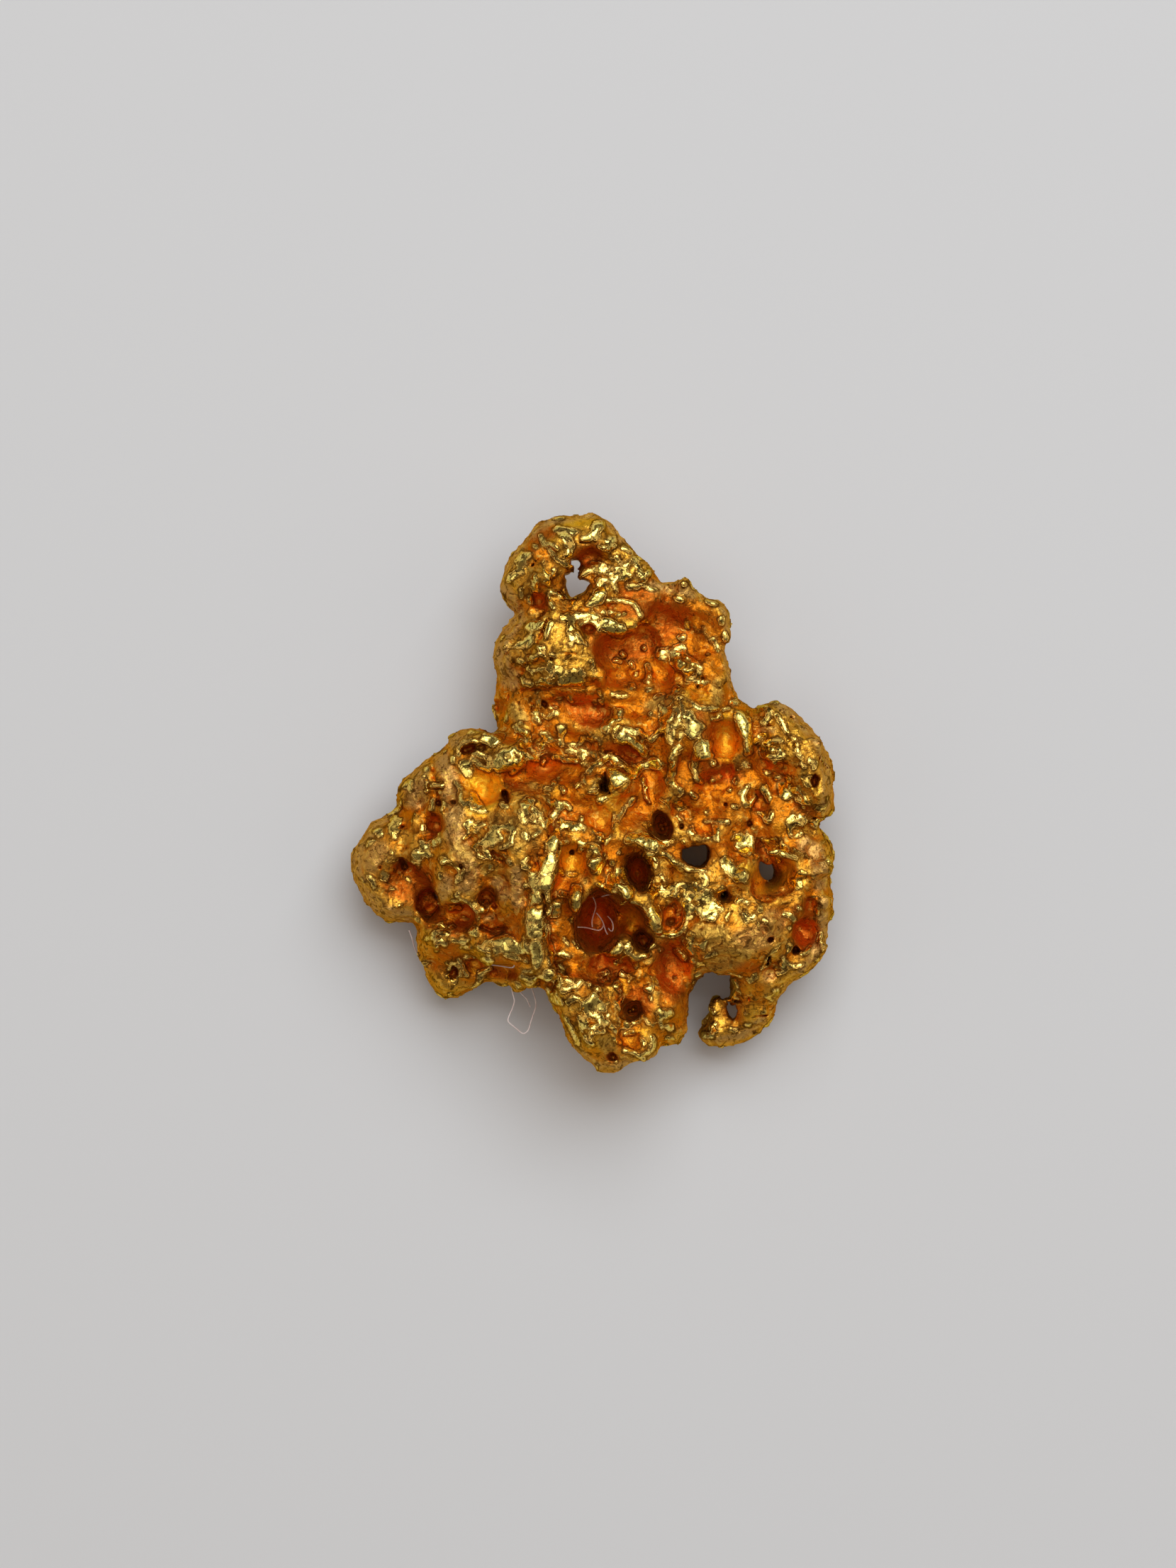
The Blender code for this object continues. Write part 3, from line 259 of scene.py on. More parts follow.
# Bright strips and crumbs by their lines, under half their width and their height.
CRESTS: tuple[Crest, ...] = listed(
    Crest,
    {
        (0.02, 0.05): ((345, 515, 350, 495, 360, 485),),
        (0.025, 0.05): ((158, 45, 160, 10, 175, -30),),
        (0.03,): (
            (-150, 650, -130, 645), (30, 560, 50, 560, 80, 550), (15, 50, 30, 45, 33, 30), (540, -635, 560, -645),
            (78, -605, 85, -615), (20, -565, 30, -585), (15, -595, 25, -610), (-15, -585, -10, -595),
            (178, -630, 180, -640), (65, -815, 70, -830), (-90, -450, -75, -470), (0, -242, 15, -240),
            (-140, -188, -110, -188), (-440, -360, -425, -353, -410, -360), (-420, -275, -405, -265),
            (-420, -258, -400, -250), (-250, 60, -230, 70), (-160, 125, -140, 128), (-150, 100, -155, 90),
            (-15, 170, -5, 162), (5, 175, 0, 162), (10, 168, 25, 160), (-130, 265, -115, 265), (-75, 295, -65, 285),
            (-540, -210, -538, -230), (-510, -255, -500, -270), (-640, -272, -655, -270), (-520, 50, -510, 20),
            (-215, -550, -185, -550), (-450, -550, -435, -530, -415, -550, -410, -570),
        ),
        (0.03, 0.05): ((68, -65, 65, -110),),
        (0.035,): ((60, 305, 85, 298, 105, 302), (-410, -325, -380, -340, -360, -365, -355, -390)),
        (0.04,): (
            (40, 700, 65, 698), (-215, 720, -210, 705), (-220, 630, -220, 605), (-120, 690, -120, 670),
            (-195, 610, -190, 585), (-120, 850, -90, 852), (-190, 375, -150, 385, -120, 375),
            (-140, 355, -120, 360, -110, 380), (-80, 350, -60, 355), (2, 400, 5, 380), (-55, 338, -35, 342),
            (-35, 520, -10, 530, 10, 525, 20, 505), (-50, 490, -35, 470, -20, 460),
            (365, 475, 378, 480, 385, 460, 390, 440), (315, 350, 330, 335, 355, 345), (165, 345, 180, 343),
            (120, 405, 125, 390), (90, 435, 100, 425), (70, 412, 85, 408), (195, 295, 210, 305, 220, 303),
            (20, 315, 25, 305), (142, 195, 158, 175), (275, 275, 280, 240), (250, 195, 248, 170), (230, 42, 236, 30),
            (260, 22, 278, 0), (28, -22, 40, -15), (-32, 55, -27, 30), (-15, 2, 15, 0),
            (350, -90, 375, -87, 420, -92), (355, -62), (435, -42, 445, -45), (425, 10), (445, 45, 442, 30),
            (535, 65, 550, 60), (430, 282, 450, 280), (405, 258, 420, 262), (645, 95, 655, 80), (630, -20, 650, -30),
            (655, -45), (610, -110, 615, -135), (635, -135, 650, -125), (480, -128, 500, -140),
            (175, -220, 198, -232), (105, -265, 120, -285, 128, -300), (185, -275, 180, -300), (245, -312, 265, -322),
            (340, -300, 360, -305), (525, -390, 540, -398), (50, -480, 70, -460, 85, -458), (310, -500),
            (545, -510, 540, -530, 525, -545), (635, -355, 645, -360), (695, -360, 700, -375), (575, -560, 600, -555),
            (565, -615, 580, -620), (385, -725), (430, -740, 450, -740), (-85, -570, -65, -585), (10, -735, 35, -735),
            (80, -700, 95, -710, 120, -715, 145, -705), (85, -725, 110, -722), (155, -685, 150, -700),
            (165, -700, 175, -715), (-55, -460, -45, -475), (-12, -178, 10, -178), (-40, -150, -30, -170, -42, -180),
            (45, -145, 55, -135), (-70, -250, -50, -248), (-145, -395, -135, -420, -140, -445, -128, -475),
            (-350, -195, -335, -200), (-215, -230, -195, -225), (-360, -120, -345, -100, -330, -95),
            (-185, 135, -175, 120), (-85, 130, -50, 130), (-40, 130, -10, 125), (-70, 148, -40, 150, -30, 170),
            (-170, 230, -165, 215), (-385, -25, -370, -50, -340, -58, -325, -55), (-135, -28, -120, -32, -105, -32),
            (-555, -215), (-525, -190, -500, -190), (-515, 5), (-460, -30, -465, -55), (-495, -20, -495, -50),
            (-405, -478, -380, -480), (-395, -510, -370, -515), (-210, -515, -200, -520),
            (-420, -515, -400, -550, -390, -570),
        ),
        (0.04, 0.16): ((240, 438, 265, 438, 290, 425, 320, 405, 335, 385, 330, 360, 305, 350, 290, 352),),
        (0.045,): (
            (310, 278, 325, 262, 350, 260, 388, 260), (370, 228, 395, 230, 395, 240),
            (243, 105, 250, 130, 265, 145, 275, 140), (100, -40, 80, -85),
            (515, -62, 530, -72, 540, -90, 550, -88, 555, -60), (480, -725, 490, -725),
            (95, -630, 85, -645, 75, -655), (-415, 120, -415, 135, -400, 158, -375, 160, -358, 160),
            (-355, -475, -340, -485, -320, -485),
        ),
        (0.05,): (
            (-100, 800, -85, 785, -80, 765, -65, 755), (-88, 800, -70, 785, -58, 760), (25, 760, 50, 752, 70, 765),
            (0, 710, 35, 705, 35, 695, 0, 695), (155, 645, 180, 630, 195, 630), (15, 660, 65, 655, 75, 625),
            (20, 645, 40, 645), (-160, 795, -150, 770, -130, 765), (-180, 765, -175, 760),
            (-130, 750, -110, 720, -80, 705), (-200, 420, -180, 415, -160, 430, -150, 425), (-230, 410, -210, 400),
            (-130, 430, -120, 420), (-100, 342, -88, 335), (-35, 380, -25, 365), (-160, 340, -130, 335),
            (-75, 495, -60, 475, -65, 455), (260, 605, 275, 595), (355, 595, 385, 585), (290, 530, 295, 515),
            (170, 395, 175, 385, 172, 360), (180, 325, 170, 315), (160, 450), (178, 245),
            (98, 198, 120, 192, 135, 185), (258, 295, 275, 293), (260, 260, 265, 230, 260, 210),
            (182, 165, 200, 185, 225, 202, 250, 205), (233, 195, 233, 165, 242, 155), (275, 185, 270, 165),
            (125, -20, 115, -35), (210, -70, 230, -95), (355, -140), (570, 45, 580, 50), (460, 0, 472, 5, 480, 20),
            (505, 160, 520, 175, 535, 180), (550, 140, 570, 135, 585, 125), (630, 150, 635, 120, 645, 110),
            (640, 0, 655, -15, 660, -30), (690, -105, 680, -95), (590, -190, 630, -200),
            (295, -235, 330, -235, 345, -240), (210, -250, 220, -270, 210, -295), (240, -295, 260, -285, 255, -310),
            (285, -315, 290, -325), (330, -255, 350, -260, 350, -285), (360, -350, 380, -340, 400, -360),
            (460, -330, 480, -340), (80, -328, 100, -335, 130, -342, 150, -350, 165, -370), (120, -500, 135, -535),
            (175, -475, 190, -470), (210, -485), (345, -508, 380, -495), (315, -590), (610, -420),
            (705, -460, 710, -440), (592, -510, 605, -530, 620, -540, 650, -535), (440, -585, 450, -605), (455, -570),
            (480, -690), (365, -675), (330, -720, 345, -720), (-135, -470, -122, -495), (-130, -510, -130, -522),
            (-100, -535, -90, -550), (-100, -560, -100, -590), (-95, -605, -80, -610),
            (-140, -605, -130, -640, -110, -650), (-35, -740, -20, -760, 0, -775), (30, -560, 40, -575), (45, -555),
            (90, -560, 100, -565), (205, -705, 215, -725), (150, -760, 160, -775), (105, -745, 125, -740),
            (70, -760, 85, -770), (100, -795, 130, -805, 160, -825), (155, -805, 175, -805), (-55, -385),
            (-90, -155, -80, -150), (-35, -155, -20, -160, 10, -162, 25, -185), (25, -130, 30, -145), (80, -185),
            (15, -280, 30, -290, 70, -305), (-100, -240, -90, -250), (-140, -310, -135, -330),
            (-280, -168, -260, -160, -250, -155), (-330, -175, -320, -190, -310, -197), (-260, -208, -250, -215),
            (-180, -50, -175, -70), (-185, -85, -170, -88), (-180, -130, -160, -120), (-215, -210, -200, -200),
            (-392, -100, -378, -88, -385, -110), (-395, -138, -382, -125), (-420, -315, -410, -305), (-395, -235),
            (-320, 110, -315, 95), (0, 125, 10, 112), (-100, 160, -97, 150), (-165, 285, -175, 250, -185, 230),
            (-223, 217), (-280, -35, -265, -42), (-145, 15, -130, 12), (-118, 32), (-95, 15, -90, 5), (-35, -80),
            (-630, -60, -600, -45), (-530, -155, -510, -165), (-495, 22, -465, 22), (-470, 0),
            (-420, 30, -410, 10, -410, -20, -395, -35), (-435, 110, -435, 95), (-445, -420, -435, -415),
            (-485, -475, -485, -490), (-320, -500), (-270, -500, -230, -510),
        ),
        (0.05, 0.14): (
            (-45, 665, -20, 685, 0, 688, 30, 685), (-135, 605, -130, 585, -120, 572),
            (-15, -685, 10, -690, 40, -710, 10, -720, -10, -720), (-120, 110, -100, 108, -80, 100, -50, 100),
        ),
        (0.05, 0.16): (
            (220, -185, 240, -200, 250, -215, 280, -225, 300, -238), (0, -660, 10, -680, 40, -700, 50, -685),
        ),
        (0.05, 0.18): ((55, 595, 100, 595, 130, 585, 140, 565, 150, 545),),
        (0.055,): (
            (305, 90, 315, 55, 325, 40, 335, 35), (465, -10, 475, -35, 487, -38, 500, -15),
            (135, -510, 160, -505, 175, -502), (-300, -112, -270, -103, -250, -112, -242, -125, -250, -140),
            (-148, -100, -130, -85, -120, -70), (-320, -550, -350, -560, -355, -590),
        ),
        (0.06,): (
            (75, 730, 85, 710), (95, 760, 120, 745), (125, 720, 140, 700, 150, 680, 160, 660, 175, 685),
            (130, 725, 150, 730), (-140, 675, -135, 655), (-125, 765, -110, 755), (-130, 620, -100, 615, -90, 605),
            (-165, 450, -150, 445), (285, 645), (410, 495, 415, 475), (255, 450, 280, 455, 285, 440), (225, 420),
            (315, 88), (5, 22, 15, 18), (258, -35, 275, -36), (265, -72, 275, -80), (305, -5, 320, -12),
            (305, -105, 300, -120, 312, -125), (470, 90, 485, 85), (550, 285, 570, 282),
            (570, 240, 590, 210, 600, 190), (530, 155, 545, 160), (550, 160, 570, 165, 585, 160),
            (525, 130, 530, 115, 550, 110, 570, 110, 590, 115), (670, 100, 690, 92, 685, 80),
            (620, -70, 630, -90, 650, -95), (640, -75, 660, -85), (550, -185, 570, -180), (510, -195),
            (340, -225, 340, -245), (275, -285, 290, -290), (310, -280, 330, -295, 340, -285, 350, -275),
            (300, -345, 310, -360, 330, -365, 340, -380, 370, -390, 380, -375), (170, -400, 185, -410, 205, -410),
            (260, -490, 285, -515), (285, -460, 300, -465, 305, -490), (320, -472, 340, -475, 350, -460),
            (325, -568, 340, -570), (595, -375, 615, -378, 625, -395), (650, -500, 665, -495, 680, -480),
            (445, -620, 440, -635, 430, -650, 450, -645), (380, -685), (-120, -610, -110, -635, -95, -650),
            (-80, -700, -65, -730, -50, -760, -45, -775), (50, -710, 75, -740), (185, -755, 190, -780, 180, -800),
            (-100, -310, -75, -315), (-100, -495, -75, -505), (60, -215), (-200, -55, -200, -80),
            (-160, -65, -155, -85), (-210, -285), (-470, -255), (-375, 130, -350, 120, -330, 110),
            (-370, 105, -350, 90, -330, 75, -320, 70), (-230, 125, -210, 125, -200, 110), (-190, 110, -172, 105),
            (-155, 155, -160, 140), (-135, 235, -120, 245, -110, 250), (-625, -85, -615, -75), (-470, -260),
            (-650, -250, -640, -260), (-695, -260, -685, -275, -680, -290), (-585, 20, -565, 35, -565, 10),
            (-515, -455, -495, -445, -490, -435), (-485, -460, -465, -460, -458, -470),
            (-340, -515, -315, -520, -320, -532),
        ),
        (0.06, 0.14): ((40, 685, 60, 675, 85, 695), (-140, 500, -140, 480)),
        (0.065, 0.16): ((200, -430, 220, -440, 255, -440, 280, -420, 287, -405),),
        (0.07,): (
            (80, 665, 110, 670), (-180, 670, -175, 635), (-210, 340, -190, 335),
            (-65, 530, -50, 550, -20, 545, 0, 550, 15, 545), (260, 125), (375, 92), (575, -170, 595, -170, 600, -185),
            (470, -370, 475, -395, 495, -385), (290, -385, 305, -385), (310, -520), (350, -760, 375, -760),
            (-210, -125, -200, -140), (-235, 195, -215, 190, -200, 180, -200, 160, -195, 150), (-220, 155, -210, 145),
            (-115, -65, -100, -45, -85, -35, -70, -45), (-675, -120, -660, -115, -660, -130), (-615, -140),
            (-220, -565, -190, -580, -160, -570),
        ),
        (0.07, 0.16): ((-10, 65, 0, 85, 22, 90, 45, 113, 75, 100, 100, 85),),
        (0.075,): ((-90, -95, -60, -100, -30, -110),),
        (0.08,): (
            (105, 700, 100, 680), (110, 640, 135, 638), (-215, 735, -195, 735), (-260, 660, -235, 680, -220, 685),
            (22, -25), (520, 270, 540, 260, 550, 250, 540, 230, 530, 220), (-315, -230), (-220, -60, -210, -85),
            (-525, -105), (-515, 75),
        ),
        (0.09, 0.14): ((260, 320), (248, 30)),
        (0.1, 0.08): ((310, -320, 350, -325),),
    },
)

# Smooth bowls and troughs by their lines, under half their width and their depth.
HOLLOWS: tuple[Hollow, ...] = listed(
    Hollow,
    {
        (0.2, 0.1): ((-185, 20),),
        (0.2, 0.2): ((125, 120, 100, 140),),
        (0.22, 0.15): ((-285, 270),),
        (0.22, 0.2): ((-15, 510),),
        (0.22, 0.25): ((-170, 595),),
        (0.25, 0.2): ((550, -290, 600, -230), (-315, -315)),
        (0.25, 0.25): ((-300, -550, -260, -550),),
        (0.28, 0.12): ((330, 300),),
        (0.28, 0.2): ((20, -530, 100, -530), (-480, -95)),
        (0.3, 0.08): ((500, -20),),
        (0.3, 0.1): ((530, 90),),
        (0.3, 0.15): ((70, 360), (220, 360), (120, -770)),
        (0.3, 0.2): ((-500, -380, -400, -380),),
        (0.32, 0.25): ((-240, 50, -150, 70, -60, 60),),
        (0.35, 0.1): ((410, 240, 415, 140),),
        (0.35, 0.15): ((210, 550, 240, 530), (140, 370), (-65, -195), (400, 70), (150, -610), (660, -430)),
        (0.35, 0.3): ((115, -380, 130, -410),),
        (0.4, 0.12): ((350, 550), (140, 260)),
        (0.4, 0.15): ((330, 10, 410, 0),),
        (0.4, 0.18): ((-60, 0, 0, -60, 30, -100),),
        (0.4, 0.2): ((-50, 260, 10, 250), (250, -500, 260, -580)),
        (0.4, 0.22): ((180, 30, 160, -30),),
        (0.5, 0.12): ((-340, 15),),
        (0.5, 0.22): ((60, 440, 160, 460),),
    },
)

# Pits, slits and narrow holes by their lines, under half their width and how far they go down.
CUTS: tuple[Cut, ...] = listed(
    Cut,
    {
        (0.024, 0.2): ((-95, 430, -50, 430), (525, 212, 560, 210)),
        (0.024, 0.22): (
            (-105, -85, -100, -150, -108, -200), (605, 165, 620, 160, 628, 130),
            (420, -660, 450, -650, 480, -655, 490, -640),
        ),
        (0.028, 0.22): (
            (-515, 40, -505, 12, -460, 10), (-150, -160, -120, -95, -105, -80), (-180, -240, -170, -190, -155, -170),
            (690, 120, 705, 100, 730, 75), (500, -698, 545, -695),
        ),
        (0.032, 0.22): (
            (-490, 90, -495, 55, -490, 35, -465, 33), (-40, 772, -12, 772), (-150, -310, -145, -390, -150, -440),
            (680, -75, 695, -80), (-225, 285, -228, 255), (-185, 275, -190, 250), (-510, -415, -450, -420),
            (245, 90, 220, 70),
        ),
        (0.036, 0.22): (
            (-485, -325, -485, -360), (-140, 540, -150, 505, -170, 460), (-200, 400, -225, 365),
            (40, 65, 40, 15, 55, -5), (35, 128, 60, 128, 85, 115, 105, 100), (515, 140, 515, 130),
            (-220, 315, -120, 320, -40, 325, 10, 330), (30, -130, 35, -190, 50, -225), (-265, 320, -255, 275),
            (210, 175, 225, 185), (-65, -610, -55, -610),
        ),
        (0.04, 9): ((-185, 700, -170, 720), (550, -505, 542, -530, 530, -542)),
        (0.05, 0.2): ((613, 235),),
        (0.05, 0.4): ((275, -378),),
        (0.06, 0.3): ((340, 355),),
        (0.06, 0.4): ((700, -435),),
        (0.07, 0.3): ((-660, -230), (-590, -105), (-125, 413), (325, 330)),
        (0.09, 0.5): ((412, -37),),
        (0.1, 0.3): ((-305, -185, -280, -205), (75, -565)),
        (0.1, 0.35): ((-340, -418, -300, -430, -275, -420),),
        (0.1, 0.4): ((-300, -350), (-430, -30), (-405, -225), (485, -95)),
        (0.1, 0.5): ((-592, -210, -583, -230),),
        (0.1, 0.6): ((275, -105),),
        (0.1, 0.7): ((550, -455),),
        (0.1, 0.8): ((-65, -185),),
        (0.12, 0.3): ((-340, 140),),
        (0.12, 0.4): ((-150, 275),),
        (0.12, 0.5): ((-475, -30),),
        (0.12, 0.9): ((-272, 0, -265, -20),),
        (0.14, 0.6): ((-395, 130, -370, 140),),
        (0.14, 0.9): ((630, -490),),
        (0.15, 0.5): ((-335, -315),),
        (0.15, 9): ((-53, 715),),
        (0.16, 0.4): ((60, -815),),
        (0.16, 0.5): ((240, -400),),
        (0.2, 0.5): ((640, -420),),
    },
)

# Hollows and holes by the corners of their mouths, under how far they go down.
OPENINGS: tuple[Opening, ...] = listed(
    Opening,
    {
        (): (
            (-87, 680, -83, 650, -72, 610, -63, 603, -40, 625, -5, 650, -10, 660, -35, 662, -50, 650, -65, 652, -55,
             670, -60, 687, -75, 680),
            (275, -175, 310, -165, 355, -160, 365, -180, 360, -210, 340, -230, 300, -225, 275, -205),
            (515, -210, 530, -215, 545, -225, 565, -220, 570, -250, 550, -270, 525, -260, 515, -235),
            (415, -665, 450, -662, 455, -680, 450, -700, 440, -710, 425, -695),
        ),
        (0.5,): (
            (10, -300, 50, -310, 80, -310, 100, -330, 80, -350, 75, -440, 60, -470, 30, -490, -20, -495, -40, -450,
             -50, -400, -30, -360, 5, -330),
        ),
        (0.3,): ((82, -345, 120, -345, 150, -360, 170, -390, 160, -410, 130, -420, 115, -440, 80, -440),),
        (0.6,): (
            (100, -195, 130, -182, 155, -195, 170, -230, 175, -260, 160, -290, 145, -310, 130, -290, 105, -260, 97,
             -230),
            (145, -415, 125, -440, 120, -465, 135, -490, 170, -495, 175, -470, 195, -460, 180, -440, 150, -435),
            (185, -65, 205, -50, 230, -65, 245, -90, 250, -120, 240, -145, 215, -145, 195, -130, 185, -100),
            (100, -660, 120, -645, 150, -645, 150, -670, 140, -695, 105, -695, 95, -680),
            (690, 65, 702, 50, 698, 25, 690, 10, 678, 15, 673, 35, 680, 55),
        ),
        (0.4,): ((-430, -535, -415, -560, -430, -580, -450, -575, -440, -550),),
    },
)

# Threads of lint by their lines, under their heights at both ends.
STRANDS: tuple[Strand, ...] = listed(
    Strand,
    {
        (): (
            (0, -322, 10, -350, 5, -375, 0, -400, 0, -425), (10, -375, 30, -400, 40, -425, 50, -445),
            (-50, -420, -20, -420, 5, -425, 25, -432, 35, -425, 35, -410), (25, -325, 45, -315, 65, -308),
            (45, -385, 60, -400, 65, -425, 60, -435, 50, -420),
            (-320, -535, -270, -538, -242, -543, -237, -533, -245, -517),
        ),
        ((3, 2.2),): (
            (-252, -543, -253, -580, -248, -620, -242, -650, -260, -690, -265, -710, -245, -730, -220, -755, -200,
             -740, -185, -700, -178, -670, -180, -640, -187, -610, -200, -590),
        ),
        ((2.9, 1.9),): ((-238, -570, -230, -615, -203, -645, -195, -675),),
        ((2, 1),): ((-575, -430, -560, -480, -530, -540),),
    },
)

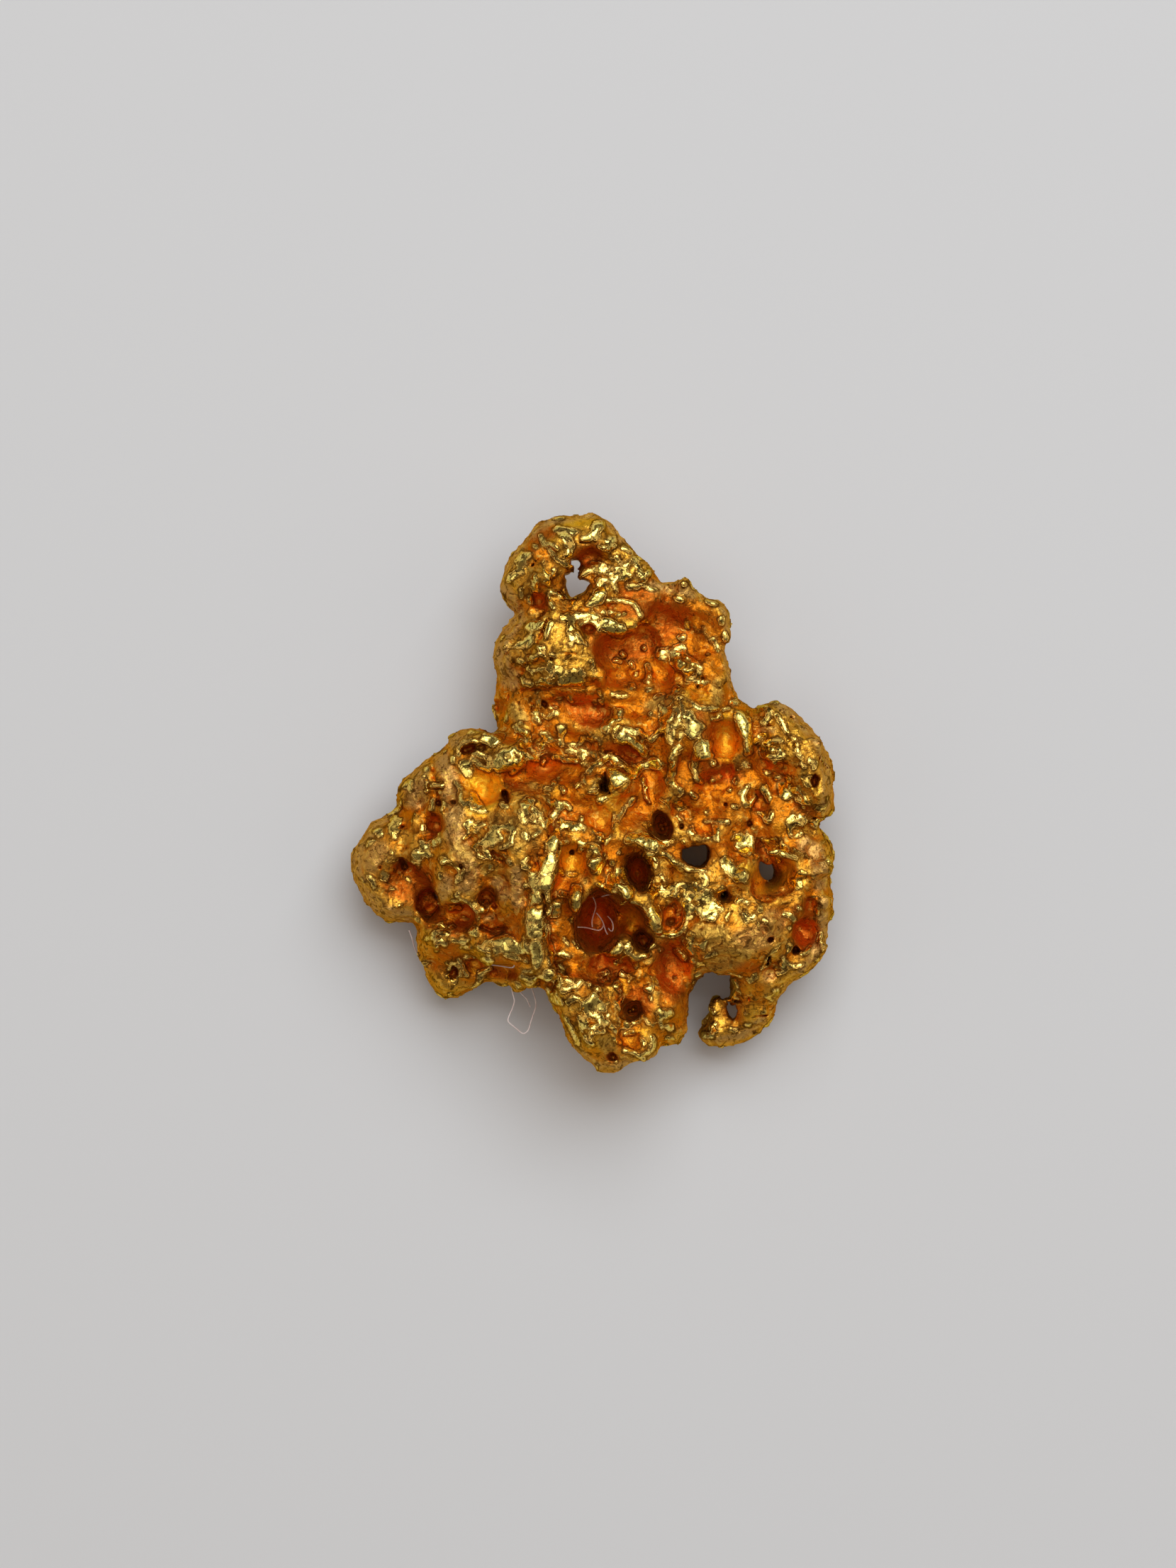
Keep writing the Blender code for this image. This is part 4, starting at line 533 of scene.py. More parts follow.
# Kinds of skin by the lines that they run along, under half their width and how plainly they show.
PATCHES: tuple[Patch, ...] = listed(
    Patch,
    {
        (Skin.FOIL, 0.25): ((-60, 470), (-300, -90, -240, -90)),
        (Skin.FOIL, 0.3): ((-190, 360, -20, 360),),
        (Skin.FOIL, 0.35): ((200, -290, 280, -300, 370, -350),),
        (Skin.HONEY, 0.16): ((-610, -335),),
        (Skin.HONEY, 0.2): (
            (275, 330, 275, 200), (270, 180), (580, -440, 570, -500), (-120, -620, -100, -640), (-160, 160),
            (-575, -25),
        ),
        (Skin.HONEY, 0.22): ((150, 510, 180, 510), (-60, -120), (50, -620)),
        (Skin.HONEY, 0.25): (
            (610, 10), (610, -290, 650, -260), (590, -580, 630, -560), (-70, -650, -20, -660),
            (-370, -100, -350, -140), (-320, -230, -280, -250), (-390, 80), (-580, -140),
        ),
        (Skin.HONEY, 0.28): ((-440, -600),),
        (Skin.HONEY, 0.3): (
            (-90, 830, 20, 830), (-80, 590, -20, 610, 50, 630), (-190, 350, -20, 350), (40, 520, 100, 500, 120, 470),
            (210, -210, 190, -280), (530, 160, 580, 130), (640, -90, 680, -110), (380, -660, 360, -700, 400, -720),
            (-30, -720, 10, -750), (-300, 130, -240, 110),
        ),
        (Skin.HONEY, 0.35): ((150, 690), (-210, 510, -100, 550, -90, 460), (-40, 480), (430, -330, 470, -380)),
        (Skin.HONEY, 0.4): (
            (-90, 770, -90, 720), (20, 750, 70, 700, 120, 700),
            (540, 260, 590, 220, 620, 170, 630, 100, 650, 40, 680, -30),
        ),
        (Skin.HONEY, 0.45): ((230, -300, 320, -300, 380, -350),),
        (Skin.HONEY, 0.5): ((-230, 660, -100, 640), (-210, 440, -120, 400, -20, 400)),
        (Skin.AMBER, 0.18): ((-260, 170),),
        (Skin.AMBER, 0.2): ((230, -370), (-250, -400, -220, -430), (-580, -75)),
        (Skin.AMBER, 0.25): (
            (210, 140), (290, 60, 290, 160), (380, -180, 420, -150), (70, -170, 80, -210), (-90, -280, -20, -270),
            (-90, -340, -90, -430, -50, -500), (-60, -530, 20, -570), (510, -610), (100, -760, 150, -790),
            (160, -690, 190, -720), (260, -660, 260, -710), (-510, -385, -420, -380, -375, -370), (-375, -570),
        ),
        (Skin.AMBER, 0.27): ((-480, -95),),
        (Skin.AMBER, 0.3): ((30, 330, 220, 330), (-240, 60, -100, 80, -30, 50), (430, -60, 330, -100), (280, -560)),
        (Skin.AMBER, 0.35): (
            (310, 570, 360, 540, 390, 500), (320, 460, 370, 420, 370, 380), (-110, 230, -70, 160), (-90, 0, -20, -30),
            (520, 90, 530, 30, 560, -40, 560, -110), (120, -380, 120, -410),
        ),
        (Skin.AMBER, 0.4): ((50, 380, 140, 380, 220, 390), (80, 270, 180, 260)),
        (Skin.AMBER, 0.45): ((190, 40, 170, -20, 100, -60), (320, 0, 440, -20)),
        (Skin.RUST, 0.15): ((630, -40, 670, -60),),
        (Skin.RUST, 0.18): ((330, 240, 350, 180), (50, 140, 130, 120), (-400, -405, -430, -435)),
        (Skin.RUST, 0.2): ((-10, 720), (100, 620, 180, 615), (-15, 510, 10, 490), (460, -540, 510, -540), (60, -820)),
        (Skin.RUST, 0.22): ((-190, 760, -160, 800, -130, 805), (-285, 270)),
        (Skin.RUST, 0.25): (
            (-30, 740, 10, 750), (-170, 595), (10, -525, 110, -530), (140, -620, 170, -660), (-470, -490, -430, -490),
        ),
        (Skin.RUST, 0.25, 0.7): ((-480, -540),),
        (Skin.RUST, 0.3): ((110, 565, 220, 580, 280, 560), (360, 70, 440, 60), (140, -240), (-300, -540, -250, -550)),
        (Skin.RUST, 0.35): ((20, 460, 60, 440), (-620, -290, -580, -310), (-530, -260, -530, -330)),
        (Skin.RUST, 0.4): (
            (230, 530, 200, 480, 120, 440), (-40, 270, -10, 230), (220, -490, 240, -550, 250, -610),
            (650, -380, 660, -460),
        ),
        (Skin.RUST, 0.5): ((0, -380, 10, -450),),
        (Skin.SATIN, 0.08): ((410, 440, 420, 380, 430, 330),),
        (Skin.SATIN, 0.1): ((340, 615, 390, 595, 420, 550, 420, 480), (560, 195, 530, 195), (-330, -385, -310, -385)),
        (Skin.SATIN, 0.12): ((-50, -790, 0, -840, 60, -860, 90, -840, 150, -840, 190, -810),),
        (Skin.SATIN, 0.13): ((330, -760, 390, -775, 470, -760, 530, -710),),
        (Skin.SATIN, 0.14): ((-30, 870, 30, 860, 80, 800, 130, 750, 180, 710),),
        (Skin.SATIN, 0.16): ((560, 290, 630, 240, 690, 170, 720, 110, 730, 20, 720, -50),),
        (Skin.SATIN, 0.18): ((715, -340, 720, -440, 680, -520, 620, -600, 570, -640), (-235, -240, -230, -340)),
        (Skin.SATIN, 0.2): (
            (-60, 860, -150, 845, -210, 800, -270, 700, -285, 650, -250, 580, -230, 560),
            (190, 640, 280, 635, 310, 620), (550, -570), (-450, -270, -460, -310), (-430, 160, -380, 195),
        ),
        (Skin.SATIN, 0.22): (
            (-290, -280, -275, -310),
            (-620, -50, -690, -110, -730, -170, -740, -240, -710, -310, -660, -370, -580, -385),
        ),
        (Skin.SATIN, 0.25): ((660, -160, 700, -190, 710, -280), (-470, 110, -440, 40, -440, -20)),
        (Skin.SATIN, 0.3): (
            (-240, 540, -280, 490, -290, 440, -275, 370, -250, 350),
            (-425, -60, -430, -120, -400, -180, -380, -240, -390, -280), (-540, 80, -550, 20, -550, -20),
        ),
        (Skin.SATIN, 0.3, 0.8): ((-660, -180, -690, -220),),
        (Skin.SATIN, 0.4, 0.7): ((470, -460, 530, -440, 560, -400),),
        (Skin.DULL, 0.15): ((-20, -270),),
        (Skin.DULL, 0.17): ((-350, 135),),
        (Skin.DULL, 0.18): ((385, 335, 385, 285),),
        (Skin.DULL, 0.2): ((180, 270, 220, 280), (-185, 20)),
        (Skin.DULL, 0.2, 0.6): ((-525, -15),),
        (Skin.DULL, 0.2, 0.7): ((-190, -100, -180, -180),),
        (Skin.DULL, 0.22): ((40, -770, 50, -785), (-240, 260, -220, 230)),
        (Skin.DULL, 0.25): ((330, -425, 400, -430),),
        (Skin.DULL, 0.25, 0.8): ((-410, -170, -390, -190), (-300, -80, -240, -95, -230, -160)),
        (Skin.DULL, 0.4, 0.8): ((390, -470, 440, -500, 380, -530),),
        (Skin.GLOW, 0.07, 0.6): ((97, -575, 100, -620),),
        (Skin.GLOW, 0.13, 0.8): ((-90, 835, -10, 835),),
        (Skin.GLOW, 0.15, 0.4): ((-485, -185),),
        (Skin.GLOW, 0.16, 0.6): ((485, -610),),
        (Skin.GLOW, 0.18): ((525, -300, 560, -295, 600, -250, 610, -220),),
        (Skin.GLOW, 0.18, 0.4): ((-205, -530),),
        (Skin.GLOW, 0.2, 0.35): ((580, -110),),
        (Skin.GLOW, 0.2, 0.5): ((310, 310, 350, 290),),
        (Skin.GLOW, 0.2, 0.6): ((-265, -355),),
        (Skin.GLOW, 0.22, 0.4): ((505, -675, 470, -710),),
        (Skin.GLOW, 0.25, 0.35): ((10, -80, 30, -100),),
        (Skin.GLOW, 0.25, 0.4): ((-120, 0),),
        (Skin.GLOW, 0.25, 0.5): ((-390, -480, -350, -510, -370, -540),),
        (Skin.GLOW, 0.26, 0.9): ((470, -245, 520, -250),),
        (Skin.GLOW, 0.3, 0.4): ((130, -760, 170, -750),),
        (Skin.GLOW, 0.3, 0.8): ((410, 220, 415, 130), (120, -360, 135, -410)),
        (Skin.GLOW, 0.36, 0.9): ((-65, -185, -60, -220),),
        (Skin.GLOW, 0.4, 0.5): ((40, -20, 50, -90),),
        (Skin.GLOW, 0.42): ((-350, 25, -320, 15, -340, -30),),
    },
)


@dataclass(frozen=True)
class Lattice:
    """Random numbers that belong to the corners of a cubic lattice of unit cells."""

    seed: int

    def triples(self, corners: Array) -> Array:
        """Three numbers from 0 to 1 for each corner.

        The whole coordinates are multiplied by large primes and combined, stirred by shifts and products,
        and the result is split into three groups of ten bits.

        Args:
            corners: Whole coordinates, as three rows.

        Returns:
            Three rows of numbers from 0 to 1.
        """
        x, y, z = corners.astype(np.int32).view(np.uint32)
        mixed = x * np.uint32(73856093) ^ y * np.uint32(19349663) ^ z * np.uint32(83492791)
        mixed = mixed + np.uint32(self.seed * 40503 + 977)
        mixed ^= mixed >> np.uint32(15)
        mixed *= np.uint32(2246822519)
        mixed ^= mixed >> np.uint32(13)
        mixed *= np.uint32(3266489917)
        mixed ^= mixed >> np.uint32(16)
        split = np.empty((3, mixed.size), np.float32)
        for row, shift in enumerate((0, 10, 20)):
            split[row] = (mixed >> np.uint32(shift)) & np.uint32(1023)
        return split / np.float32(1024)

    def drift(self, places: Array) -> Array:
        """Smooth noise, about -1 to 1.

        Each corner of a place's cell pulls with its own random slope, and the pulls are blended by
        t * t * (3 - 2 * t) of the place within the cell.

        Args:
            places: Coordinates in cells, as three rows.

        Returns:
            One number for each place.
        """
        low = np.floor(places)
        part = (places - low).astype(np.float32)
        ease = part * part * (3 - 2 * part)
        total = np.zeros(part.shape[1], np.float32)
        for corner in product((0, 1), repeat=3):
            shift = np.array(corner, np.float32)[:, None]
            pull = 2 * self.triples(low + shift) - 1
            weight = np.prod(np.where(shift > 0, ease, 1 - ease), axis=0)
            total += weight * ((part - shift) * pull).sum(axis=0)
        return 1.7 * total

    def cells(self, places: Array) -> tuple[Array, Array, Array]:
        """The nearest and second nearest of seeds scattered one to a cell.

        Args:
            places: Coordinates in cells, as three rows.

        Returns:
            The two squared distances, and a number from 0 to 1 that belongs to the nearest seed.
        """
        low = np.floor(places)
        part = (places - low).astype(np.float32)
        first = np.full(part.shape[1], 9, np.float32)
        second = first.copy()
        name = np.zeros_like(first)
        for corner in product((-1, 0, 1), repeat=3):
            shift = np.array(corner, np.float32)[:, None]
            seed = self.triples(low + shift)
            gap = ((shift + seed - part) ** 2).sum(axis=0)
            closer = gap < first
            second = np.where(closer, first, np.minimum(second, gap))
            name = np.where(closer, seed[0], name)
            first = np.where(closer, gap, first)
        return first, second, name


def eased(share: Array) -> Array:
    """A share kept from 0 to 1 and eased at both ends by t * t * (3 - 2 * t)."""
    kept = np.clip(share, 0, 1)
    return kept * kept * (3 - 2 * kept)


def blurred(values: Array, spread: float) -> Array:
    """An array blurred along each of its axes with a bell curve.

    Args:
        values: The array.
        spread: The bell curve's standard deviation, in grid steps.

    Returns:
        The blurred array, of the same shape.
    """
    reach = max(1, math.ceil(2.6 * spread))
    weights = np.exp(-0.5 * (np.arange(-reach, reach + 1) / spread) ** 2)
    weights = (weights / weights.sum()).astype(np.float32)
    for axis in range(values.ndim):
        margin = [(0, 0)] * values.ndim
        margin[axis] = (reach, reach)
        padded = np.pad(values, margin, mode="edge")
        total = np.zeros_like(values)
        for start, weight in enumerate(weights):
            window = [slice(None)] * values.ndim
            window[axis] = slice(start, start + values.shape[axis])
            total += weight * padded[tuple(window)]
        values = total
    return values


@dataclass
class Field:
    """Distances to a body's skin on a regular grid, below zero inside the body."""

    step: float
    low: Array
    values: Array

    @classmethod
    def around(cls, points: Array, triangles: Array, step: float) -> "Field":
        """The field of a closed mesh.

        Args:
            points: The corners, one to a row.
            triangles: The faces, as rows of three corner numbers.
            step: The grid's step.

        Returns:
            The field, which is exact up to eight steps from the skin.
        """
        place = vdb.createLinearTransform(voxelSize=step)
        grid = vdb.FloatGrid.createLevelSetFromPolygons(
            points.astype(np.float32), triangles=triangles.astype(np.uint32), transform=place, halfWidth=8.0
        )
        low, high = (np.array(corner) for corner in grid.evalActiveVoxelBoundingBox())
        values = np.empty(tuple(high - low + 1), np.float32)
        grid.copyToArray(values, ijk=tuple(int(n) for n in low))
        return cls(step, low, values)

    def axis(self, number: int) -> Array:
        """Where the grid's planes across one axis stand."""
        return (np.arange(self.values.shape[number]) + self.low[number]) * self.step

    def tops(self) -> Array:
        """Height of the highest skin over each place of the plan, and the lowest plane's where there is none.

        It lies between the highest inner grid point and the one above it, where the distance passes zero.

        Returns:
            The heights, in millimetres.
        """
        inside = self.values < 0
        count = inside.shape[2]
        highest = count - 1 - np.argmax(inside[:, :, ::-1], axis=2)
        highest = np.where(inside.any(axis=2), np.minimum(highest, count - 2), 0)
        rows = highest[:, :, None]
        below = np.take_along_axis(self.values, rows, axis=2)[:, :, 0]
        above = np.take_along_axis(self.values, rows + 1, axis=2)[:, :, 0]
        share = np.clip(below / np.minimum(below - above, -1e-6), 0, 1)
        return (highest + share + self.low[2]) * self.step

    def sampled(self, points: Array, values: Array) -> Array:
        """Values at any places, each blended from the eight grid points round it.

        Args:
            points: The places, one to a row.
            values: An array on the grid.

        Returns:
            One value for each place.
        """
        spot = points / self.step - self.low
        limit = np.array(values.shape) - 2
        low = np.clip(np.floor(spot), 0, limit).astype(np.int64)
        part = np.clip(spot - low, 0, 1)
        total = np.zeros(len(points))
        for corner in product((0, 1), repeat=3):
            shift = np.array(corner)
            weight = np.prod(np.where(shift > 0, part, 1 - part), axis=1)
            at = low + shift
            total += weight * values[at[:, 0], at[:, 1], at[:, 2]]
        return total

    def skin(self) -> tuple[Array, Array]:
        """The surface where the distance is zero.

        Returns:
            The corners, and four-sided faces that point outwards.
        """
        grid = vdb.FloatGrid(float(self.values.max()))
        grid.copyFromArray(self.values, ijk=tuple(int(n) for n in self.low))
        grid.transform = vdb.createLinearTransform(voxelSize=self.step)
        grid.gridClass = vdb.GridClass.LEVEL_SET
        points, _, quads = grid.convertToPolygons(isovalue=0.0, adaptivity=0.0)
        return points, quads[:, ::-1]


@dataclass
class Plan:
    """The nugget's upper skin seen from above, on which crests, hollows, cuts and kinds of skin are drawn."""

    body: Field
    seed: int = 11
    wander: float = 0.04
    wander_size: float = 0.24
    spread: float = 0.02
    x: Array = field(init=False)
    y: Array = field(init=False)
    top: Array = field(init=False)

    def __post_init__(self) -> None:
        """Lays out the plan, with coordinates that wander a little so that drawn lines aren't straight."""
        flat_x, flat_y = np.meshgrid(self.body.axis(0), self.body.axis(1), indexing="ij")
        self.top = self.body.tops()
        spots = np.stack([flat_x.ravel(), flat_y.ravel(), np.zeros(flat_x.size)]) / self.wander_size
        fine = spots * 3.1
        pushes = []
        for turn in range(2):
            coarse_push = Lattice(self.seed + turn).drift(spots)
            fine_push = Lattice(self.seed + 5 + turn).drift(fine)
            pushes.append((coarse_push + 0.45 * fine_push).reshape(flat_x.shape) * self.wander)
        self.x = (flat_x + pushes[0]).astype(np.float32)
        self.y = (flat_y + pushes[1]).astype(np.float32)

    def away(self, path: Path) -> Array:
        """Distance in plan from a bent line.

        It is the least over the line's pieces. The nearest place on a piece is its start plus a share of
        the piece, kept from 0 to 1.

        Args:
            path: The line's corners, as x and y in turn.

        Returns:
            The distance over the whole plan.
        """
        corners = corners_of(path)
        ends = corners[1:] if len(corners) > 1 else corners
        best = np.full(self.x.shape, 99, np.float32)
        for start, end in zip(corners, ends):
            run = end - start
            share = ((self.x - start[0]) * run[0] + (self.y - start[1]) * run[1]) / max(run @ run, 1e-9)
            share = np.clip(share, 0, 1)
            gap = np.hypot(self.x - start[0] - share * run[0], self.y - start[1] - share * run[1])
            best = np.minimum(best, gap)
        return best

    def within(self, path: Path) -> Array:
        """Distance in plan to a closed outline, above zero inside it.

        A place is inside when a line from it to the right crosses the outline an odd number of times.

        Args:
            path: The outline's corners, as x and y in turn.

        Returns:
            The distance over the whole plan.
        """
        corners = corners_of(path)
        inside = np.zeros(self.x.shape, bool)
        for start, end in zip(corners, np.roll(corners, -1, axis=0)):
            rise = end[1] - start[1] or 1e-9
            level = (self.y >= min(start[1], end[1])) & (self.y < max(start[1], end[1]))
            inside ^= level & (self.x < start[0] + (self.y - start[1]) / rise * (end[0] - start[0]))
        gap = self.away((*path, *path[:2]))
        return np.where(inside, gap, -gap)

    def raised(self, forms: tuple[Crest | Island, ...]) -> tuple[Array, Array]:
        """Where crests and islands stand.

        Args:
            forms: The crests and islands.

        Returns:
            The distance to the nearest one's edge, above zero on it, and its height.
        """
        edge = np.full(self.x.shape, -1, np.float32)
        height = np.full_like(edge, 0.1)
        for form in forms:
            if isinstance(form, Crest):
                inner = form.width + self.spread - self.away(form.path)
            else:
                inner = self.within(form.path) + 2 * self.spread
            height = np.where(inner > edge, form.height, height)
            edge = np.maximum(edge, inner)
        return edge, height

    def sunk(self, hollows: tuple[Hollow, ...]) -> Array:
        """How far hollows lower the skin: each is a bowl, deepest at its line, by 1 - t * t of its width.

        Args:
            hollows: The hollows.

        Returns:
            The depth over the whole plan.
        """
        drop = np.zeros(self.x.shape, np.float32)
        for hollow in hollows:
            share = self.away(hollow.path) / (1.2 * hollow.width)
            drop = np.maximum(drop, hollow.depth * np.maximum(1 - share * share, 0))
        return drop

    def covered(self, patches: tuple[Patch, ...], skin: Skin) -> Array:
        """How plainly one kind of skin shows over the whole plan.

        Args:
            patches: All patches.
            skin: The kind.

        Returns:
            Shares from 0 to 1.
        """
        share = np.zeros(self.x.shape, np.float32)
        for patch in patches:
            if patch.skin is skin:
                shape = eased((1.3 - self.away(patch.path) / patch.width) / 0.6)
                share = np.maximum(share, patch.strength * shape)
        return share


@dataclass
class Nugget:
    """The nugget's whole skin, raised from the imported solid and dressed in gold."""

    step: float = 0.065  # of the grid
    facet_blur: float = 0.09  # rounds off the solid's facets
    most_triangles: int = 196000
    layer: float = 0.8  # how far below the tops the drawn forms still count
    warp_size: float = 0.7
    cell_size: float = 0.62
    cell_depth: float = 0.1
    crumple_size: float = 0.3
    crumple_height: float = 1.4
    blotch_size: float = 0.42
    speck_size: float = 0.2
    strewn_scale: float = 0.22  # carries strewn noise to a distance
    strewn_height: float = 0.09
    drawn_gap: float = 0.08  # keeps strewn plates back where plates are drawn
    plate_lift: float = 0.5
    plate_reach: float = 0.2  # the greatest distance from a plate's edge that is kept
    wide_bell: float = 0.42
    narrow_bell: float = 0.12
    same_place: float = 1e-8  # metres; nearer corners of the finished skin are one corner
    body: Field = field(init=False)
    masks: dict[str, Array] = field(init=False, default_factory=dict)

    def solid(self) -> tuple[Array, Array]:
        """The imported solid's mesh with its loose triangles joined, in millimetres.

        Corners that agree to a hundred-thousandth of a millimetre are one corner.

        Returns:
            The corners and the triangles.
        """
        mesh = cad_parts[NODE].data
        points = np.empty(len(mesh.vertices) * 3, np.float32)
        mesh.vertices.foreach_get("co", points)
        mesh.calc_loop_triangles()
        corners = np.empty(len(mesh.loop_triangles) * 3, np.int32)
        mesh.loop_triangles.foreach_get("vertices", corners)
        keys = np.round(points.reshape(-1, 3) / MM, 5)
        joined, names = np.unique(keys, axis=0, return_inverse=True)
        return joined, names.ravel()[corners].reshape(-1, 3)

    def relief(self) -> None:
        """Raises bright plates and crumpled gold from the body and sinks hollows, pits and holes into it.

        A place is on a plate where its distance to a drawn plate's edge, or a strewn one's, is above zero.
        Strewn plates are where two sizes of noise and the rims of scattered cells add up to enough, less
        on smooth gold. A plate is lifted over its edge by an eased step. A cell is a dent that is deepest
        at its seed, and the crumple is the gap between the two nearest seeds' squared distances.
        """
        body = self.body
        plan = Plan(body)
        edge, height = plan.raised(ISLANDS + CRESTS)
        drop = plan.sunk(HOLLOWS)
        kinds = {skin: plan.covered(PATCHES, skin) for skin in Skin}
        smooth = np.maximum.reduce([kinds[skin] for skin in (Skin.AMBER, Skin.RUST, Skin.GLOW)])

        near = np.nonzero(np.abs(body.values) < 6 * self.step)
        places = np.stack([(part + low) * self.step for part, low in zip(near, body.low)]).astype(np.float32)
        over = near[0], near[1]
        upper = eased((places[2] - plan.top[over] + self.layer) / (0.6 * self.layer))
        quiet = smooth[over] * upper
        # The tan patches are a painted dim reflection; with the dull patches they keep strewn plates back.
        dim_reflection_or_dull = np.maximum(kinds[Skin.SATIN], kinds[Skin.DULL])[over] * upper

        warp = np.stack([Lattice(20 + turn).drift(places / self.warp_size) for turn in range(3)])
        bowl_first, bowl_second, bowl_name = Lattice(31).cells((places + 0.2 * warp) / self.cell_size)
        rim = np.sqrt(bowl_first / np.maximum(bowl_second, 1e-6))
        fold_first, fold_second, _ = Lattice(37).cells((places + 0.06 * warp[::-1]) / self.crumple_size)
        fold = (fold_second - fold_first) * self.crumple_size**2 * self.crumple_height

        blotch = Lattice(43).drift((places + 0.1 * warp) / self.blotch_size)
        blotch += 0.6 * Lattice(44).drift(places / self.speck_size)
        strewn = blotch + 1.1 * (rim - 0.75) - 0.2 - 0.4 * quiet + 0.6 * kinds[Skin.FOIL][over] * upper
        strewn *= self.strewn_scale
        strewn -= self.drawn_gap * upper + 0.07 * dim_reflection_or_dull + 0.2 * kinds[Skin.GLOW][over] * upper
        plate = np.maximum(strewn, np.where(upper > 0.5, edge[over], -1))
        plate = np.clip(plate, -self.plate_reach, self.plate_reach)
        on_plate = eased((plate + 0.05) / 0.1)
        lift = np.where(edge[over] > strewn, height[over], self.strewn_height) * on_plate
        dent = self.cell_depth * (0.4 + 1.2 * bowl_name) * (rim - 0.5) * (1 - 0.6 * quiet)
        crumple = (fold - 0.05) * (0.5 - 0.2 * on_plate) * (1 - 0.85 * quiet * (1 - on_plate))
        body.values[near] -= self.plate_lift * lift - drop[over] * upper * (1 - on_plate) + dent + crumple
        kept = {"plate": 0.5 + 0.5 * plate / self.plate_reach, "drawn": eased((edge[over] + 0.04) / 0.06) * upper}
        kept.update({skin.value: kinds[skin][over] * upper for skin in Skin})
        for name, share in kept.items():
            self.masks[name] = np.zeros_like(body.values)
            self.masks[name][near] = share
        self.dig(plan)

    def dig(self, plan: Plan) -> None:
        """Cuts pits, slits and holes.

        Each is a well under its mouth. Its floor goes down from the mouth's edge as a quarter of an ellipse,
        to its full depth in the middle, and the body keeps what lies outside it.

        Args:
            plan: The plan that the cuts are drawn on.
        """
        heights = self.body.axis(2)[None, None, :].astype(np.float32)
        ground = blurred(plan.top.astype(np.float32), 2.0)
        mouths = [(cut.width - plan.away(cut.path), cut.depth) for cut in CUTS]
        mouths += [(plan.within(opening.path), opening.depth) for opening in OPENINGS]
        for inner, depth in mouths:
            rows = np.nonzero((inner > -8 * self.step).any(axis=1))[0]
            columns = np.nonzero((inner > -8 * self.step).any(axis=0))[0]
            if not len(rows) or not len(columns):
                continue
            part = (slice(rows[0], rows[-1] + 1), slice(columns[0], columns[-1] + 1))
            share = np.clip(inner[part] / max(inner[part].max(), self.step), 0, 1)
            floor = ground[part] - depth * np.sqrt(share * (2 - share))
            well = np.minimum(inner[part][:, :, None], heights - floor[:, :, None])
            self.body.values[part] = np.maximum(self.body.values[part], well)

    def biggest(self, points: Array, quads: Array) -> tuple[Array, Array]:
        """The largest joined part of a mesh.

        Every corner takes the lowest number in its faces, and then the number of the corner that it names,
        until nothing changes.

        Args:
            points: The corners.
            quads: The faces.

        Returns:
            The corners and faces of the part with most corners.
        """
        names = np.arange(len(points))
        while True:
            lowest = np.repeat(names[quads].min(axis=1), 4)
            fresh = names.copy()
            np.minimum.at(fresh, quads.ravel(), lowest)
            fresh = fresh[fresh]
            fresh = fresh[fresh]
            if np.array_equal(fresh, names):
                break
            names = fresh
        kept = names == np.bincount(names).argmax()
        renumbered = np.cumsum(kept) - 1
        return points[kept], renumbered[quads[kept[quads[:, 0]]]]

    def measures(self, points: Array, rise: Array) -> dict[str, Array]:
        """What the finish needs to know at each corner.

        The share of gold within a bell curve round a place is a half on level skin, more in a hollow and
        less on a crest. A wide bell gives hollows, and a narrow one gives creases.

        Args:
            points: The corners, in millimetres.
            rise: How far the skin faces upwards there, from -1 to 1.

        Returns:
            Numbers from 0 to 1 by name.
        """
        body = self.body
        gold = np.clip(0.5 - body.values / (1.5 * self.step), 0, 1)
        wide = body.sampled(points, blurred(gold, self.wide_bell / self.step))
        fine = body.sampled(points, blurred(gold, self.narrow_bell / self.step))
        found = {"hollow": np.clip(wide, 0, 1), "crease": np.clip(fine, 0, 1), "steep": np.clip(1 - rise, 0, 1)}
        for name, values in self.masks.items():
            found[name] = np.clip(body.sampled(points, values), 0, 1)
        return found

    def build(self) -> bpy.types.Object:
        """Makes the nugget.

        Returns:
            The finished piece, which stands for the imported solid.
        """
        low, high = (np.array(corner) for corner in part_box(NODE))
        self.body = Field.around(*self.solid(), self.step)
        self.body.values = blurred(self.body.values, self.facet_blur / self.step)
        self.relief()
        points, quads = self.biggest(*self.body.skin())
        log.info("skin: %d corners, %d faces", len(points), len(quads))
        rough = mesh_from("rough_skin", points, quads)
        mesh = thinned(rough, self.most_triangles)
        bpy.data.meshes.remove(rough)
        corners = np.empty(len(mesh.vertices) * 3, np.float32)
        mesh.vertices.foreach_get("co", corners)
        corners = corners.reshape(-1, 3)
        normals = np.empty(len(mesh.vertices) * 3, np.float32)
        mesh.vertices.foreach_get("normal", normals)
        for name, values in self.measures(corners, normals[2::3]).items():
            mesh.attributes.new(name, "FLOAT", "POINT").data.foreach_set("value", values.astype(np.float32))
        placed = np.clip(corners.astype(float) * MM, low, high)
        mesh.vertices.foreach_set("co", placed.astype(np.float32).ravel())
        weld(mesh, self.same_place)
        mesh.shade_smooth()
        mesh.update()
        mesh.name = "nugget_skin"
        mesh.materials.append(Gold().material())
        piece = bpy.data.objects.new("nugget_skin", mesh)
        bpy.context.scene.collection.objects.link(piece)
        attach(piece, BODY)
        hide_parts(NODE)
        log.info("nugget: %d triangles", len(mesh.polygons))
        return piece


